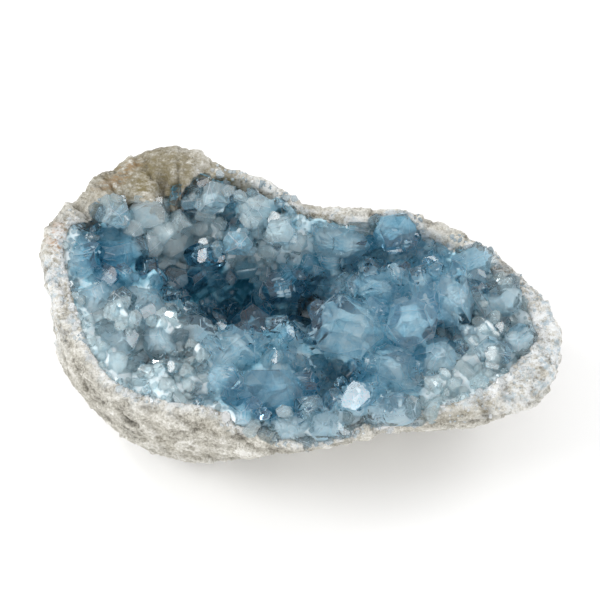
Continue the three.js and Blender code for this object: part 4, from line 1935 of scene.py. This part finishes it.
@dataclass
class RockCrumbs:
    """Crumbs of rock where the rock meets the crust.

    Attributes:
        solids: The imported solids.
        rock: The rock that they lie against.
        mass: The crust that they cling to.
        spacing: Least distance between neighbours, in mm.
        sizes: Least and greatest size.
        flatness: Their thickness as a share of their size.
        strip: How far they reach over the rock, in mm.
        lip: Reach of the rock's lip from which there are none.
        count_share: Share of the places that hold one.
        scale: How white they are.
        shape_count: How many different crumbs there are.
    """

    solids: Solids
    rock: RockRind
    mass: MilkyMass
    spacing: float = 1.5
    sizes: tuple[float, float] = (1.68, 3.5)
    flatness: float = 0.55
    strip: float = 3.0
    lip: float = 4.0
    count_share: float = 0.35
    scale: float = 0.7
    shape_count: int = 12

    def crumb(self, seed: int) -> bpy.types.Mesh:
        """Make one angular crumb about 1 m across, for scaling."""
        form = bmesh.new()
        bmesh.ops.create_icosphere(form, subdivisions=1, radius=0.5)
        for vertex in form.verts:
            vertex.co *= picked(0.7, 1.2, seed, vertex.index + 1)
            vertex.co.z *= self.flatness
        mesh = bpy.data.meshes.new("crumb")
        form.to_mesh(mesh)
        form.free()
        return mesh

    def build(self) -> None:
        """Scatter the crumbs as one piece."""
        places = [
            place for place in self.mass.places
            if self.solids.to_rock(place[0]) < earth_reach(place[0])
        ]
        places += [
            place for place in self.rock.places if self.solids.to_crust(place[0]) < self.strip
        ]
        placings = []
        for number in spread(places, self.spacing, 6):
            point, normal = places[number]
            seed = CRUMB_SEED + number
            if earth_reach(point) > self.lip or chance(seed, 1) > self.count_share:
                continue
            size = between(*self.sizes, chance(seed, 2) ** 2)
            axis = normal + Vector((chance(seed, 3) - 0.5, chance(seed, 4) - 0.5, 0.0))
            swing = swing_of(axis, 6.3 * chance(seed, 5))
            place = placed(point - 0.1 * size * normal, swing, size)
            values = {
                # The crumb's place in the painted shade of the relief, picked at random.
                "height": picked(0.5, 0.8, seed, 6),
                "scale": self.scale,
                "brown": min(1.0, total(BROWN_PATCHES, point)),
                "rust": 0.0,
            }
            shape = int(self.shape_count * chance(seed, 7))
            placings.append(Placing(shape, place, values))
        crumbs = [self.crumb(number * 50) for number in range(self.shape_count)]
        mesh = scattered("rim_crumbs", crumbs, placings)
        mesh.materials.append(self.rock.material)
        piece = link_piece("rim_crumbs", mesh)
        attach(piece, "root")
        LOG.info("rim_crumbs: %d crumbs, %d faces", len(placings), len(mesh.polygons))


@dataclass
class Studio:
    """The pale floor, the soft lights and the camera.

    Attributes:
        target: Where the camera looks, in mm.
        elevation: Its height above the horizon, in degrees.
        distance: Its distance from the target, in mm.
        lens: Its focal length, in mm.
        sensor: Width of its sensor, in mm.
        floor_size: Side of the floor, in m.
        floor_colour: Colour of the floor.
        sky_strength: Brightness of the sky, which is white all round.
        lamp_size: Side of the large lamps, in mm.
        spark_size: Side of the small lamp, in mm.
    """

    target: Vector = field(default_factory=lambda: Vector((-1.4, 12.7, 42.0)))
    elevation: float = 60.0
    distance: float = 900.0
    lens: float = 117.4
    sensor: float = 36.0
    floor_size: float = 6.0
    floor_colour: tuple = (0.97, 0.97, 0.97)
    sky_strength: float = 0.84
    lamp_size: float = 420.0
    spark_size: float = 60.0

    def set_camera(self) -> None:
        """Place the camera at the photograph's angle."""
        angle = math.radians(self.elevation)
        back = Vector((0.0, -math.cos(angle), math.sin(angle)))
        data = bpy.data.cameras.new("camera")
        data.lens = self.lens
        data.sensor_width = self.sensor
        camera = bpy.data.objects.new("camera", data)
        camera.location = (self.target + back * self.distance) * MM
        camera.rotation_mode = "QUATERNION"
        camera.rotation_quaternion = (-back).to_track_quat("-Z", "Y")
        bpy.context.scene.collection.objects.link(camera)
        bpy.context.scene.camera = camera

    def add_floor(self) -> None:
        """Lay a pale floor."""
        form = bmesh.new()
        bmesh.ops.create_grid(form, x_segments=8, y_segments=8, size=0.5 * self.floor_size)
        mesh = bpy.data.meshes.new("floor")
        form.to_mesh(mesh)
        form.free()
        material = bpy.data.materials.new("floor")
        material.use_nodes = True
        body = material.node_tree.nodes["Principled BSDF"]
        body.inputs["Base Color"].default_value = (*self.floor_colour, 1.0)
        body.inputs["Roughness"].default_value = 0.9
        mesh.materials.append(material)
        floor = link_piece("floor", mesh)

    def add_lamp(self, name: str, place: Vector, size: float, power: float) -> None:
        """Hang a soft square lamp that points at the geode.

        Args:
            name: The lamp's name.
            place: Its place, in mm.
            size: Its side, in mm.
            power: Its power, in watts.
        """
        data = bpy.data.lights.new(name, "AREA")
        data.shape = "SQUARE"
        data.size = size * MM
        data.energy = power
        lamp = bpy.data.objects.new(name, data)
        lamp.location = place * MM
        lamp.rotation_mode = "QUATERNION"
        lamp.rotation_quaternion = (self.target - place).to_track_quat("-Z", "Y")
        bpy.context.scene.collection.objects.link(lamp)

    def set_light(self) -> None:
        """Light the scene evenly, with a stronger lamp from the upper left."""
        world = bpy.data.worlds.new("studio")
        world.use_nodes = True
        sky = world.node_tree.nodes["Background"]
        sky.inputs["Color"].default_value = (1.0, 1.0, 1.0, 1.0)
        sky.inputs["Strength"].default_value = self.sky_strength
        bpy.context.scene.world = world
        self.add_lamp("key", Vector((-760.0, -40.0, 640.0)), self.lamp_size, 3.8)
        self.add_lamp("back fill", Vector((620.0, 420.0, 520.0)), self.lamp_size, 2.0)
        self.add_lamp("front fill", Vector((260.0, -900.0, 380.0)), self.lamp_size, 2.0)
        self.add_lamp("spark", Vector((-570.0, 330.0, 720.0)), self.spark_size, 0.6)

    def set_view(self) -> None:
        """Show colours as they are, and let light pass through many crystal faces."""
        scene = bpy.context.scene
        scene.view_settings.view_transform = "Standard"
        scene.cycles.max_bounces = 24
        scene.cycles.transmission_bounces = 20
        scene.cycles.diffuse_bounces = 4

    def build(self) -> None:
        """Set up the studio."""
        self.set_camera()
        self.add_floor()
        self.set_light()
        self.set_view()


def main() -> None:
    """Build the geode and its studio."""
    logging.basicConfig(level=logging.INFO, format="%(message)s")
    Studio().build()
    solids = Solids()
    rock = RockRind(solids)
    rock.build()
    mass = MilkyMass(solids)
    mass.build()
    crystals = CelestiteCrystals(solids, mass)
    crystals.build()
    Veils(crystals).build()
    RimDruse(solids, rock).build()
    RockCrumbs(solids, rock, mass).build()


if __name__ == "__main__":
    main()
